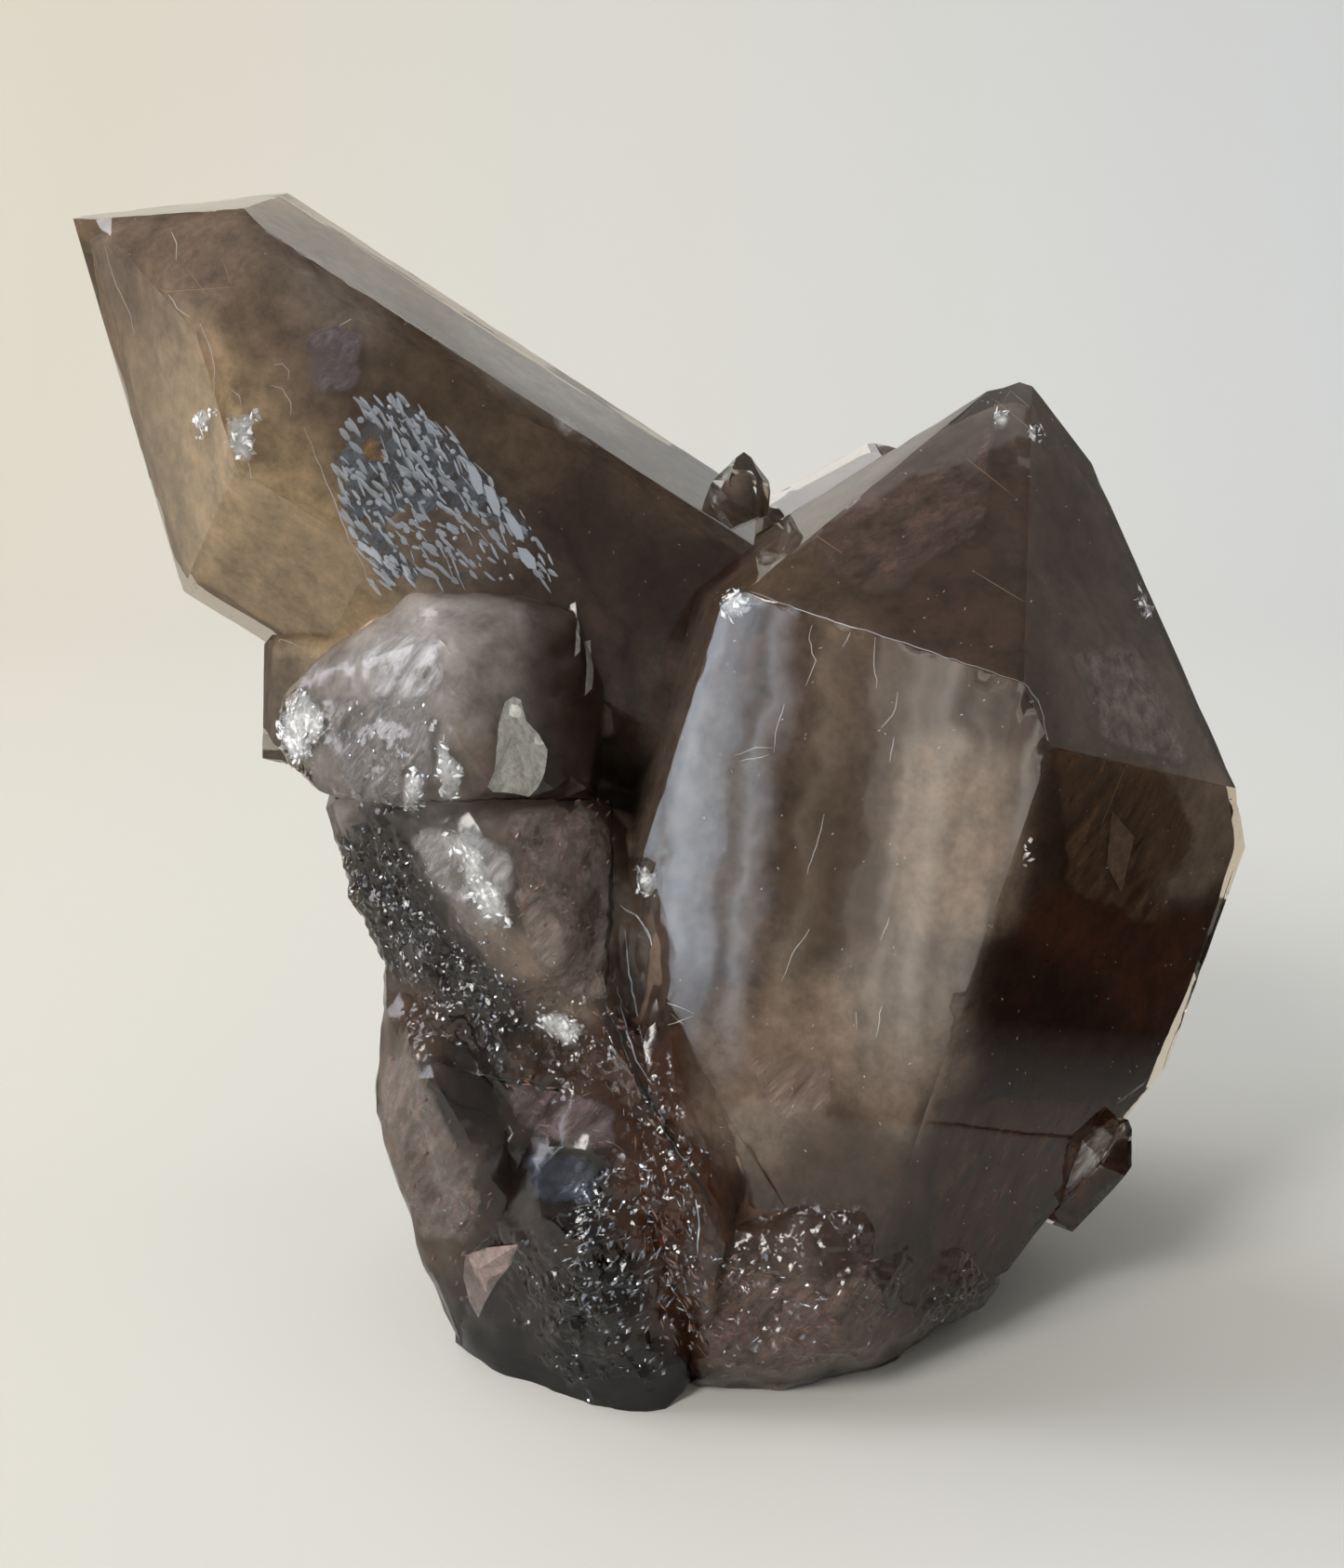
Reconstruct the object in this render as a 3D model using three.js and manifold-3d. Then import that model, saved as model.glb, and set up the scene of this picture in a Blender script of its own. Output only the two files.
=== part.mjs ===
// A smoky quartz cluster: two large clear crystals, a few small ones, and the broken root they grew from.
// Millimetres, +Z up. The cluster stands on a flat cut, with the origin in the middle of that cut.
import * as THREE from 'three';
import { ConvexGeometry } from 'three/addons/geometries/ConvexGeometry.js';
import { ImprovedNoise } from 'three/addons/math/ImprovedNoise.js';
import { mergeVertices } from 'three/addons/utils/BufferGeometryUtils.js';
import Module from 'manifold-3d';

const wasm = await Module();
wasm.setup();

const QUARTZ = 0x6a5442;
const RHOMB_ANGLE = 51.79; // degrees between the long axis of a quartz crystal and the normal of a tip face
const BLANK = 400; // side of the block that every crystal is cut from
const LEDGE_SPACING = 10; // mm from one broken hollow to the next
const LEDGE_STEPS = 4; // steps between the middle height of a broken face and its highest
const LEDGE_START = 7; // where in the noise the ledges are read, chosen for how they fall
const RIPPLE = 0.16; // how far a hollow's skin wanders, as a share of its radius
const RIPPLES = 3; // how many such waves there are from its middle out
const noise = new ImprovedNoise();

// The two large crystals. Each is given by a point on its axis, the lean of the axis from upright, the heading
// that it leans towards, the turn of its faces about the axis, and the distance of every face from that point:
// six prism faces and six tip faces, numbered round the axis. foot is the distance of the buried end, and
// breaks are flat breakages, each through three points in mm.
const TALL = {
  centre: [33, 1.5, 65],
  lean: 18.2,
  heading: 18.6,
  turn: -22.6,
  prism: [32, 28, 41, 27, 38, 47.5],
  tip: [46.3, 39, 44, 46.3, 55, 56.7],
  foot: 75,
  breaks: [
    [[-12, -15, 73], [-11, -21, 48], [-16, -7, 56]],
    [[-11, -21, 48], [-1, -29, 28], [-9, -19, 27]],
    [[-1, -29, 28], [9, -34, 21], [1, -26, 9]],
    [[69, -3, 38], [42, -20, 11], [45, 20, 5]],
    [[42, -20, 11], [27, -31, 9], [30, 0, 0]],
  ],
};
const LEANING = {
  centre: [-45, 30, 132],
  lean: 57.2,
  heading: 179.9,
  turn: 23.1,
  prism: [19.7, 14.1, 21.5, 28, 41, 33.7],
  tip: [36.9, 35.5, 44, 50, 44, 38.5],
  foot: 62,
};

// The small crystals, all near enough regular: radius is the distance of the prism faces from the axis, and
// reach the distance from the centre to the point.
const SMALL = [
  { centre: [3, 37, 117], lean: 8, heading: 60, turn: 10, radius: 4.3, reach: 9.5, foot: 12 },
  { centre: [22, 45, 107], lean: 62, heading: 6, turn: 5, radius: 15, reach: 29, foot: 30 },
  { centre: [-57, 31, 84], lean: 4, heading: 0, turn: 32, radius: 17.5, reach: 34, foot: 5 },
  { centre: [53.4, -9.2, 21], lean: 36, heading: -15, turn: 22, radius: 5, reach: 13, foot: 6 },
  { centre: [-14, 42, 72], lean: 74, heading: 105, turn: 14, radius: 11, reach: 34, foot: 20 },
  { centre: [12, 38, 58], lean: 40, heading: 82, turn: 20, radius: 15, reach: 40, foot: 40 },
  { centre: [-26, 34, 48], lean: 48, heading: 118, turn: 38, radius: 12, reach: 36, foot: 30 },
  { centre: [38, 34, 46], lean: 68, heading: 62, turn: 25, radius: 9, reach: 30, foot: 20 },
  { centre: [20, 40, 30], lean: 80, heading: 96, turn: 8, radius: 6, reach: 20, foot: 15 },
  { centre: [-34, 36, 44], lean: 66, heading: 132, turn: 20, radius: 6.5, reach: 22, foot: 15 },
  { centre: [2, 47, 52], lean: 60, heading: 84, turn: 30, radius: 4.5, reach: 15, foot: 10 },
];

// The broken masses between and below the crystals. Each is the hull of a few points in mm, with its corners
// worn round: the higher the sharpness, the crisper they are. rough is the height of its ledges in mm.
const LUMPS = [
  { // the stubby grown mass below the leaning crystal
    points: [
      [-62, 1, 98], [-59, 2, 101], [-45, -2, 110], [-30, -3, 110], [-22, -1, 107], [-18, 2, 95],
      [-39, -17, 105], [-37, -22, 97], [-40, -23, 85], [-67, 3, 92], [-66, 0, 85], [-59, -8, 82],
      [-44, -21, 83], [-33, -23, 86], [-20, -13, 83], [-64, 36, 92], [-24, 40, 100], [-19, 37, 70],
      [-60, 32, 71],
    ],
    sharpness: 60,
    detail: 9,
    rough: 0.15,
  },
  { // the block under its ledge
    points: [
      [-44, -17, 82], [-33, -19, 84], [-20, -9, 82], [-16, -7, 76], [-17, -14, 54], [-24, -19, 49],
      [-32, -23, 52], [-46, -15, 56], [-60, -4, 81], [-54, -7, 71], [-53, -9, 61], [-49, -11, 54],
      [-31, -26, 74], [-23, -26, 67], [-58, 30, 71], [-19, 28, 38], [-17, 35, 64], [-50, 24, 41],
    ],
    sharpness: 40,
    detail: 8,
    rough: 0.7,
  },
  { // the bulge at the left of the foot
    points: [
      [-50, -12, 54], [-52, -14, 42], [-52, -16, 35], [-49, -19, 27], [-43, -22, 20], [-40, -23, 12],
      [-39, -23, -4], [-42, -27, 43], [-36, -30, 33], [-30, -24, 45], [-30, -29, 23], [-25, -18, 49],
      [-36, 20, -4], [-44, 22, 40], [-20, 20, 40],
    ],
    sharpness: 30,
    detail: 8,
    rough: 0.6,
  },
  { // the dark foot
    points: [
      [-38, -25, 19], [-40, -22, -4], [-31, -31, -4], [-20, -38, -4], [-10, -40, -4], [-5, -36, 4],
      [-5, -30, 33], [-11, -24, 47], [-24, -27, 47], [-26, -35, 29], [-16, -41, 18], [-36, 20, -4],
      [0, 20, -4], [0, 20, 40], [-30, 20, 40],
    ],
    sharpness: 30,
    detail: 9,
    rough: 1,
  },
  { // the ridge between the foot and the tall crystal
    points: [
      [-17, -13, 64], [-12, -20, 57], [-10, -23, 54], [-5, -34, 37], [-1, -38, 28], [-4, -40, 10],
      [-11, -35, 28], [-15, -25, 45], [-2, -8, 56], [6, -24, 30], [5, -24, 5], [-13, -6, 24],
    ],
    sharpness: 24,
    detail: 8,
    rough: 1.4,
  },
  { // the broken end of the tall crystal
    points: [
      [-5, -34, 24], [3, -34, 25], [9, -37, 22], [15, -39, 23], [22, -38, 30], [-5, -39, 8],
      [4, -41, 8], [16, -41, 10], [29, -30, 8], [42, -20, 8], [16, -28, -4], [1, -32, -4],
      [-6, -36, 2], [34, -6, -4], [36, 20, -4], [0, 20, -4], [36, 20, 30], [0, 20, 30],
    ],
    sharpness: 24,
    detail: 8,
    rough: 1.2,
  },
  { // the mass that fills between the block, the bulge and the foot
    points: [
      [-52, -8, 78], [-50, -10, 56], [-50, -13, 36], [-46, -17, 22], [-38, -20, -4], [-14, -34, -4],
      [-7, -30, 36], [-12, -19, 56], [-16, -8, 76], [-36, -20, 72], [-36, -24, 52], [-30, -29, 30],
      [-40, 20, -4], [-45, 24, 78], [-10, 24, 78], [-5, 20, -4],
    ],
    sharpness: 30,
    detail: 8,
    rough: 1.3,
  },
  { // the root behind everything
    points: [
      [-34, 0, -4], [30, -5, -4], [44, 10, -4], [38, 32, -4], [10, 42, -4], [-25, 36, -4],
      [-50, 12, 80], [-54, 34, 85], [-20, 50, 102], [0, 44, 114], [20, 46, 108], [40, 46, 80],
      [48, 34, 40], [-48, 28, 40], [-35, 0, 60],
    ],
    sharpness: 24,
    detail: 10,
    rough: 3,
  },
];

// Hollows struck out of the broken masses: shell-shaped breakages, each a slice off an ellipsoid.
const HOLLOWS = [
  { centre: [-23, -40, 35], radii: [10, 8, 9] },
  { centre: [-13, -47, 23], radii: [9, 10, 14] },
  { centre: [-46, -28, 62], radii: [10, 10, 8] },
  { centre: [-13, -21, 62], radii: [5, 6, 15] },
  { centre: [-38, -36, 55], radii: [8, 9, 6] },
];

// Chips off the edges and faces of the crystals, as places and sizes in mm.
const CHIPS = [
  { at: [1, -9, 111], size: 1.8 },
  { at: [-12, -15, 72], size: 2 },
  { at: [42, -33, 79], size: 1.3 },
  { at: [34, -36, 58], size: 1 },
  { at: [20, -35, 45], size: 2 },
  { at: [59, 5, 108], size: 1.5 },
  { at: [-73, -1, 133], size: 3 },
  { at: [-68, 0, 126], size: 1.3 },
];

function solidOf(geometry) {
  geometry.deleteAttribute('normal');
  geometry.deleteAttribute('uv');
  const merged = mergeVertices(geometry, 1e-4);
  return new wasm.Manifold(new wasm.Mesh({
    numProp: 3,
    vertProperties: new Float32Array(merged.attributes.position.array),
    triVerts: new Uint32Array(merged.index.array),
  }));
}

function geometryOf(solid) {
  const { vertProperties, triVerts, numProp } = solid.getMesh();
  const geometry = new THREE.BufferGeometry();
  const positions = new Float32Array(vertProperties.length / numProp * 3);
  for (let i = 0; i < positions.length / 3; i++) {
    for (let k = 0; k < 3; k++) positions[3 * i + k] = vertProperties[numProp * i + k];
  }
  geometry.setAttribute('position', new THREE.BufferAttribute(positions, 3));
  geometry.setIndex(new THREE.BufferAttribute(new Uint32Array(triVerts), 1));
  geometry.computeVertexNormals();
  return geometry;
}

// The axis of a crystal, and the two directions that its faces are counted from.
function axesOf({ lean, heading, turn }) {
  const [l, h, t] = [lean, heading, turn].map(THREE.MathUtils.degToRad);
  const axis = new THREE.Vector3(Math.sin(l) * Math.cos(h), Math.sin(l) * Math.sin(h), Math.cos(l));
  const front = new THREE.Vector3(0, -1, 0).projectOnPlane(axis).normalize();
  front.applyAxisAngle(axis, t);
  const side = new THREE.Vector3().crossVectors(axis, front);
  return { axis, front, side };
}

// One quartz crystal: a block cut by its six prism faces, its six tip faces and its foot.
function crystal(form) {
  const { axis, front, side } = axesOf(form);
  const centre = new THREE.Vector3(...form.centre);
  const slope = THREE.MathUtils.degToRad(RHOMB_ANGLE);
  const block = new THREE.BoxGeometry(BLANK, BLANK, BLANK);
  block.translate(...form.centre);
  let solid = solidOf(block);
  const cut = (normal, distance) => {
    const reach = -(distance + normal.dot(centre));
    solid = solid.trimByPlane(normal.clone().negate().toArray(), reach);
  };
  for (let k = 0; k < 6; k++) {
    const angle = k * Math.PI / 3;
    const outward = front.clone().multiplyScalar(Math.cos(angle)).addScaledVector(side, Math.sin(angle));
    const tipward = outward.clone().multiplyScalar(Math.sin(slope)).addScaledVector(axis, Math.cos(slope));
    cut(outward, form.prism[k]);
    cut(tipward, form.tip[k]);
  }
  cut(axis.clone().negate(), form.foot);
  for (const corners of form.breaks ?? []) {
    const plane = new THREE.Plane().setFromCoplanarPoints(...corners.map((p) => new THREE.Vector3(...p)));
    if (plane.distanceToPoint(centre) > 0) plane.negate();
    cut(plane.normal, -plane.distanceToPoint(centre));
  }
  return solid;
}

// A small crystal's faces, from its radius and reach: every other tip face is set back a little.
function smallForm({ radius, reach, ...rest }) {
  const slope = THREE.MathUtils.degToRad(RHOMB_ANGLE);
  const wide = [1, 0.94, 1.08, 1, 0.92, 1.06];
  const steep = [0, 0.12, 0, 0.1, 0, 0.14];
  return {
    ...rest,
    prism: wide.map((w) => w * radius),
    tip: steep.map((s) => Math.cos(slope) * reach + s * radius),
  };
}

// The planes of a hull, each told once.
function planesOf(corners) {
  const { position } = new ConvexGeometry(corners).attributes;
  const planes = [];
  for (let i = 0; i < position.count; i += 3) {
    const triangle = [0, 1, 2].map((k) => new THREE.Vector3().fromBufferAttribute(position, i + k));
    const plane = new THREE.Plane().setFromCoplanarPoints(...triangle);
    if (!planes.some((other) => other.normal.dot(plane.normal) > 0.998)) planes.push(plane);
  }
  return planes;
}

// A broken lump: a fine ball pulled out to the rounded hull of its points, with ledges pushed into its skin.
function lump({ points, sharpness, detail, rough }) {
  const corners = points.map((p) => new THREE.Vector3(...p));
  const middle = new THREE.Vector3();
  for (const corner of corners) middle.addScaledVector(corner, 1 / corners.length);
  const planes = planesOf(corners);
  const ball = new THREE.IcosahedronGeometry(1, detail);
  const { position } = ball.attributes;
  for (let i = 0; i < position.count; i++) {
    const way = new THREE.Vector3().fromBufferAttribute(position, i).normalize();
    let sum = 0;
    for (const plane of planes) {
      const share = plane.normal.dot(way) / -plane.distanceToPoint(middle);
      if (share > 0) sum += share ** sharpness;
    }
    const p = middle.clone().addScaledVector(way, (2 / sum) ** (1 / sharpness));
    p.addScaledVector(way, rough * ledge(p));
    position.setXYZ(i, p.x, p.y, p.z);
  }
  return solidOf(ball);
}

// The height of the broken surface at a place, from -1 to 1, in flat steps with slopes between them.
function ledge(p) {
  const q = p.clone().divideScalar(LEDGE_SPACING);
  const steps = LEDGE_STEPS * noise.noise(q.x + LEDGE_START, q.y, q.z + q.x / 2);
  const flat = Math.round(steps);
  return (flat + 2 * (steps - flat) ** 3) / 2;
}

// A hollow is an ellipsoid with a slightly rippled skin, as a shell-shaped breakage has.
function hollow({ centre, radii }) {
  const ball = new THREE.IcosahedronGeometry(1, 5);
  const { position } = ball.attributes;
  for (let i = 0; i < position.count; i++) {
    const way = new THREE.Vector3().fromBufferAttribute(position, i).normalize();
    const wave = noise.noise(way.x * RIPPLES + centre[0], way.y * RIPPLES, way.z * RIPPLES);
    way.multiplyScalar(1 + RIPPLE * wave);
    position.setXYZ(i, way.x, way.y, way.z);
  }
  ball.scale(...radii);
  ball.translate(...centre);
  return solidOf(ball);
}

function chip({ at, size }) {
  const flake = new THREE.IcosahedronGeometry(size, 0);
  flake.scale(1, 0.7, 1.3);
  flake.rotateY(size * 2);
  flake.translate(...at);
  return solidOf(flake);
}

// The largest skin alone, which fills any gap left sealed between the overlapping lumps.
function outerSkin(solid) {
  const skins = solid.decompose();
  return skins.reduce((best, skin) => (skin.volume() > best.volume() ? skin : best));
}

function cluster() {
  let solid = crystal(TALL).add(crystal(LEANING));
  for (const form of SMALL) solid = solid.add(crystal(smallForm(form)));
  for (const form of LUMPS) solid = solid.add(lump(form));
  for (const form of HOLLOWS) solid = solid.subtract(hollow(form));
  for (const form of CHIPS) solid = solid.subtract(chip(form));
  return outerSkin(solid.trimByPlane([0, 0, 1], 0));
}

const group = new THREE.Group();
const solid = cluster();
const quartz = new THREE.MeshStandardMaterial({ color: QUARTZ, roughness: 0.12, metalness: 0 });
const mesh = new THREE.Mesh(geometryOf(solid), quartz);
mesh.name = 'quartz_cluster';
group.add(mesh);

export default group;
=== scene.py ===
import math

import bmesh
import bpy
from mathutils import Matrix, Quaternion, Vector, noise
from mathutils.bvhtree import BVHTree


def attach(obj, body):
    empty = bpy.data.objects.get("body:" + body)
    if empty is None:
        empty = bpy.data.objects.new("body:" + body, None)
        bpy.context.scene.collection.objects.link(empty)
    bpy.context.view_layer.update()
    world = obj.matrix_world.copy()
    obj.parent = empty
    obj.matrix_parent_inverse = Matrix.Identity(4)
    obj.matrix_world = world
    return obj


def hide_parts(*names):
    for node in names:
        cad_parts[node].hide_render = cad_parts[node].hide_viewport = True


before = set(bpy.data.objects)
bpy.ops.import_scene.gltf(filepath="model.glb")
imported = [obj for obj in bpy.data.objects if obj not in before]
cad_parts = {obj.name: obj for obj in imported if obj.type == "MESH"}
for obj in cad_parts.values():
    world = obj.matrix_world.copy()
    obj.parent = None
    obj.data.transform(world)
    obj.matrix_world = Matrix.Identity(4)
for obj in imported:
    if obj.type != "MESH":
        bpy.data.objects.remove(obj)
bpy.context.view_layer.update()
MM = 0.001

# The camera. The cluster is photographed from a little above, close enough for some perspective.
# The lens is a phone's short telephoto: 2200 px of focal length on a picture 1686 px high.
SENSOR = 36.0
FOCAL_PX = 2200.0
PICTURE_HIGH = 1686.0
CAMERA_PLACE = Vector((-0.008, -0.296, 0.1602))
CAMERA_DIP = math.radians(15.0)


def new_object(name, data):
    """An object at the origin of the scene that shows a mesh, a camera or a lamp."""
    made = bpy.data.objects.new(name, data)
    bpy.context.scene.collection.objects.link(made)
    return made


eye = bpy.data.cameras.new("eye")
eye.sensor_width = SENSOR
eye.lens = SENSOR * FOCAL_PX / PICTURE_HIGH
eye.clip_start = 0.01
eye.clip_end = 20.0
camera = new_object("eye", eye)
camera.location = CAMERA_PLACE
camera.rotation_euler = (math.pi / 2 - CAMERA_DIP, 0.0, 0.0)
bpy.context.scene.camera = camera

# The room. A pale seamless paper sweeps from under the cluster up behind it, as in a studio.
# The paper is matt. Its colour holds painted light: warm and darker at the left, cool and lighter at the
# right, as daylight falls across the wall.
FLOOR_HALF = 1.6
SWEEP_START = 0.55
SWEEP_RADIUS = 0.5
SWEEP_STEPS = 12
WALL_HIGH = 1.9
TONES_MEET = 0.35


def linear(hex_colour):
    """An sRGB hex colour as linear RGBA."""
    parts = [int(hex_colour[i:i + 2], 16) / 255 for i in (1, 3, 5)]
    return [c / 12.92 if c <= 0.04045 else ((c + 0.055) / 1.055) ** 2.4 for c in parts] + [1.0]


def add_node(tree, kind, settings=None, links=None):
    """One node with its settings, its socket values and what is linked into it.

    A socket goes by its name, or by its number where several share a name. A link comes from a socket, or
    from a node's first output."""
    node = tree.nodes.new(kind)
    for name, value in (settings or {}).items():
        if isinstance(name, str) and hasattr(node, name):
            setattr(node, name, value)
        else:
            node.inputs[name].default_value = value
    for name, source in (links or {}).items():
        if isinstance(source, bpy.types.Node):
            source = next(output for output in source.outputs if output.enabled)
        tree.links.new(source, node.inputs[name])
    return node


def new_material(name):
    """An empty node material and its tree."""
    made = bpy.data.materials.new(name)
    made.use_nodes = True
    made.node_tree.nodes.clear()
    return made, made.node_tree


def stage_sheet(name, points, faces, material):
    """A sheet of the stage that isn't part of the cluster, and its mesh."""
    mesh = bpy.data.meshes.new(name)
    mesh.from_pydata(points, [], faces)
    mesh.materials.append(material)
    new_object(name, mesh)
    return mesh


def paper_sweep():
    """The paper: flat, then a quarter turn, then upright."""
    rows = [(-FLOOR_HALF, 0.0), (SWEEP_START, 0.0)]
    for k in range(1, SWEEP_STEPS + 1):
        a = k / SWEEP_STEPS * math.pi / 2
        rows.append((SWEEP_START + SWEEP_RADIUS * math.sin(a), SWEEP_RADIUS * (1 - math.cos(a))))
    rows.append((SWEEP_START + SWEEP_RADIUS, WALL_HIGH))
    points = [(x, y, z) for y, z in rows for x in (-FLOOR_HALF, FLOOR_HALF)]
    faces = [(2 * i, 2 * i + 1, 2 * i + 3, 2 * i + 2) for i in range(len(rows) - 1)]
    stage_sheet("paper", points, faces, matt_paper()).shade_smooth()


def matt_paper():
    """Seamless background paper: matt, with painted light in its colour, warm and darker at the left passing
    into cool and lighter at the right.
    """
    made, tree = new_material("matt_paper")
    place = add_node(tree, "ShaderNodeTexCoord").outputs["Object"]
    split = add_node(tree, "ShaderNodeSeparateXYZ", {}, {"Vector": place})
    across = add_node(
        tree, "ShaderNodeMapRange", {"From Min": -TONES_MEET, "From Max": TONES_MEET},
        {"Value": split.outputs["X"]},
    )
    tone = add_node(
        tree, "ShaderNodeMix", {"data_type": "RGBA", "A": linear("#c5c1b4"), "B": linear("#d8dbdc")},
        {"Factor": across},
    )
    shader = add_node(tree, "ShaderNodeBsdfPrincipled", {"Roughness": 0.9}, {"Base Color": tone})
    add_node(tree, "ShaderNodeOutputMaterial", {}, {"Surface": shader})
    return made


paper_sweep()

# The light. A tall window with a drawn curtain stands at the front left, and the widest crystal face
# mirrors it: cool daylight, the curtain's dark hem and folds, and a warm glow. Soft lights hang above, at the
# left and over the wall, and a dark card lies at the right.
PANEL_LEFT = Vector((-1.15, -1.11))
PANEL_RIGHT = Vector((-0.73, -1.43))
PANEL_LOW, PANEL_HIGH = 0.0, 0.9
WINDOW_POWER = 8.2
SILL_FADE = 0.14
CURTAIN_FOLDS = (24.0, 0.5, 1.0)
# Bands across the window, from its left edge: place, colour and brightness.
WINDOW_BANDS = [
    (0.0, "#c6d4e2", 0.9),
    (0.42, "#c6d4e2", 0.8),
    (0.48, "#c8ced8", 0.5),
    (0.52, "#6a5c4c", 0.1),
    (0.56, "#d8c8b0", 0.24),
    (0.62, "#d8c8b0", 0.16),
    (0.70, "#e0d8cc", 0.5),
    (1.0, "#e0d8cc", 0.4),
]


def lit_curtain():
    """Light through a thin curtain: bands from left to right, dimmed by its folds and by the sill."""
    made, tree = new_material("lit_curtain")
    across = add_node(tree, "ShaderNodeUVMap")
    split = add_node(tree, "ShaderNodeSeparateXYZ", {}, {"Vector": across})
    stretch = add_node(tree, "ShaderNodeMapping", {"Scale": CURTAIN_FOLDS}, {"Vector": across})
    folds = add_node(tree, "ShaderNodeTexNoise", {"Scale": 1.0, "Detail": 3.0}, {"Vector": stretch})
    profile = add_node(tree, "ShaderNodeValToRGB", {}, {"Fac": split.outputs["X"]})
    bands = profile.color_ramp.elements
    for place, _, _ in WINDOW_BANDS[2:]:
        bands.new(place)
    for band, (place, colour, bright) in zip(bands, WINDOW_BANDS):
        band.position = place
        band.color = [part * bright for part in linear(colour)[:3]] + [1.0]
    fold = add_node(
        tree, "ShaderNodeMapRange", {"From Min": 0.35, "From Max": 0.65, "To Min": 0.35, "To Max": 1.45},
        {"Value": folds},
    )
    sill = add_node(
        tree, "ShaderNodeMapRange", {"From Max": SILL_FADE, "To Max": WINDOW_POWER},
        {"Value": split.outputs["Y"]},
    )
    power = add_node(tree, "ShaderNodeMath", {"operation": "MULTIPLY"}, {0: fold, 1: sill})
    glow = add_node(tree, "ShaderNodeEmission", {}, {"Color": profile, "Strength": power})
    add_node(tree, "ShaderNodeOutputMaterial", {}, {"Surface": glow})
    return made


def curtained_window():
    """The window: an upright lit panel."""
    points = [(*side, high) for high in (PANEL_LOW, PANEL_HIGH) for side in (PANEL_LEFT, PANEL_RIGHT)]
    mesh = stage_sheet("window", points, [(0, 1, 3, 2)], lit_curtain())
    corners = mesh.uv_layers.new(name="across")
    for corner, place in zip(corners.data, ((0, 0), (1, 0), (1, 1), (0, 1))):
        corner.uv = place


curtained_window()


def soft_light(name, place, target, wide, high, power, colour):
    """A soft light, as wide and high as a softbox, that faces a target."""
    lamp = bpy.data.lights.new(name, "AREA")
    lamp.shape = "RECTANGLE"
    lamp.size = wide
    lamp.size_y = high
    lamp.energy = power
    lamp.color = linear(colour)[:3]
    holder = new_object(name, lamp)
    holder.location = place
    holder.rotation_euler = (Vector(target) - Vector(place)).to_track_quat("-Z", "Y").to_euler()


MIDDLE = (0.0, 0.0, 0.08)
WALL_MIDDLE = (0.0, 1.0, 0.35)
# Each light's place and target, its width and height in metres, its power in watts and its colour.
soft_light("top", (-0.7, 0.5, 1.35), MIDDLE, 0.7, 0.7, 9.0, "#ffffff")
soft_light("left_side", (-1.3, 0.1, 0.75), MIDDLE, 0.6, 0.8, 8.0, "#f6f6ff")
soft_light("front_left", (-0.85, -0.95, 1.1), MIDDLE, 0.55, 0.55, 15.0, "#fffaf4")
soft_light("wall_wash", (0.15, 0.25, 1.7), WALL_MIDDLE, 1.6, 0.5, 2.0, "#fdfdff")

# The card's corners on the paper, just out of the picture, and how dark it is at each.
CARD_PLACES = [(0.066, -0.12), (0.155, 0.16), (0.106, -0.12), (0.195, 0.16), (0.45, -0.12), (0.45, 0.16)]
CARD_SHADES = ["#d0cecb"] * 2 + ["#2c241e"] * 4
CARD_FACES = [(0, 2, 3, 1), (2, 4, 5, 3)]


def dark_card():
    """The card that the lower right face mirrors. It fades into the paper at its left edge."""
    made, tree = new_material("matt_card")
    shade = add_node(tree, "ShaderNodeAttribute", {"attribute_name": "shade"})
    shader = add_node(tree, "ShaderNodeBsdfPrincipled", {"Roughness": 0.9}, {"Base Color": shade})
    add_node(tree, "ShaderNodeOutputMaterial", {}, {"Surface": shader})
    mesh = stage_sheet("dark_card", [(x, y, MM) for x, y in CARD_PLACES], CARD_FACES, made)
    shades = mesh.attributes.new("shade", "FLOAT_COLOR", "POINT")
    for value, colour in zip(shades.data, CARD_SHADES):
        value.color = linear(colour)


dark_card()

# The rest of the room gives a weak, even and slightly warm light.
world = bpy.data.worlds.new("room")
world.use_nodes = True
world.node_tree.nodes["Background"].inputs["Color"].default_value = linear("#cfccc6")
world.node_tree.nodes["Background"].inputs["Strength"].default_value = 0.5
bpy.context.scene.world = world
bpy.context.scene.view_settings.view_transform = "Standard"

# The cluster itself: one grown body of smoky quartz, clear and brown, with flat glassy growth faces on its
# crystals and hackly, shell-shaped breakages on the root that was torn from the rock.
# Triangles that turn less than FLAT_TURN lie on one face, and slivers join the face beside them.
FLAT_TURN = math.cos(math.radians(0.15))
SLIVER_TURN = math.cos(math.radians(0.8))
SLIVER_AREA = 0.05 * MM * MM
GROWN_AREA = 30 * MM * MM
GROWN_PAIR_AREA = 6 * MM * MM
FACES_DOWN = -0.99
BASE_REACH = 0.1 * MM
BROKEN, GROWN, CUT = 0, 1, 2


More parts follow.
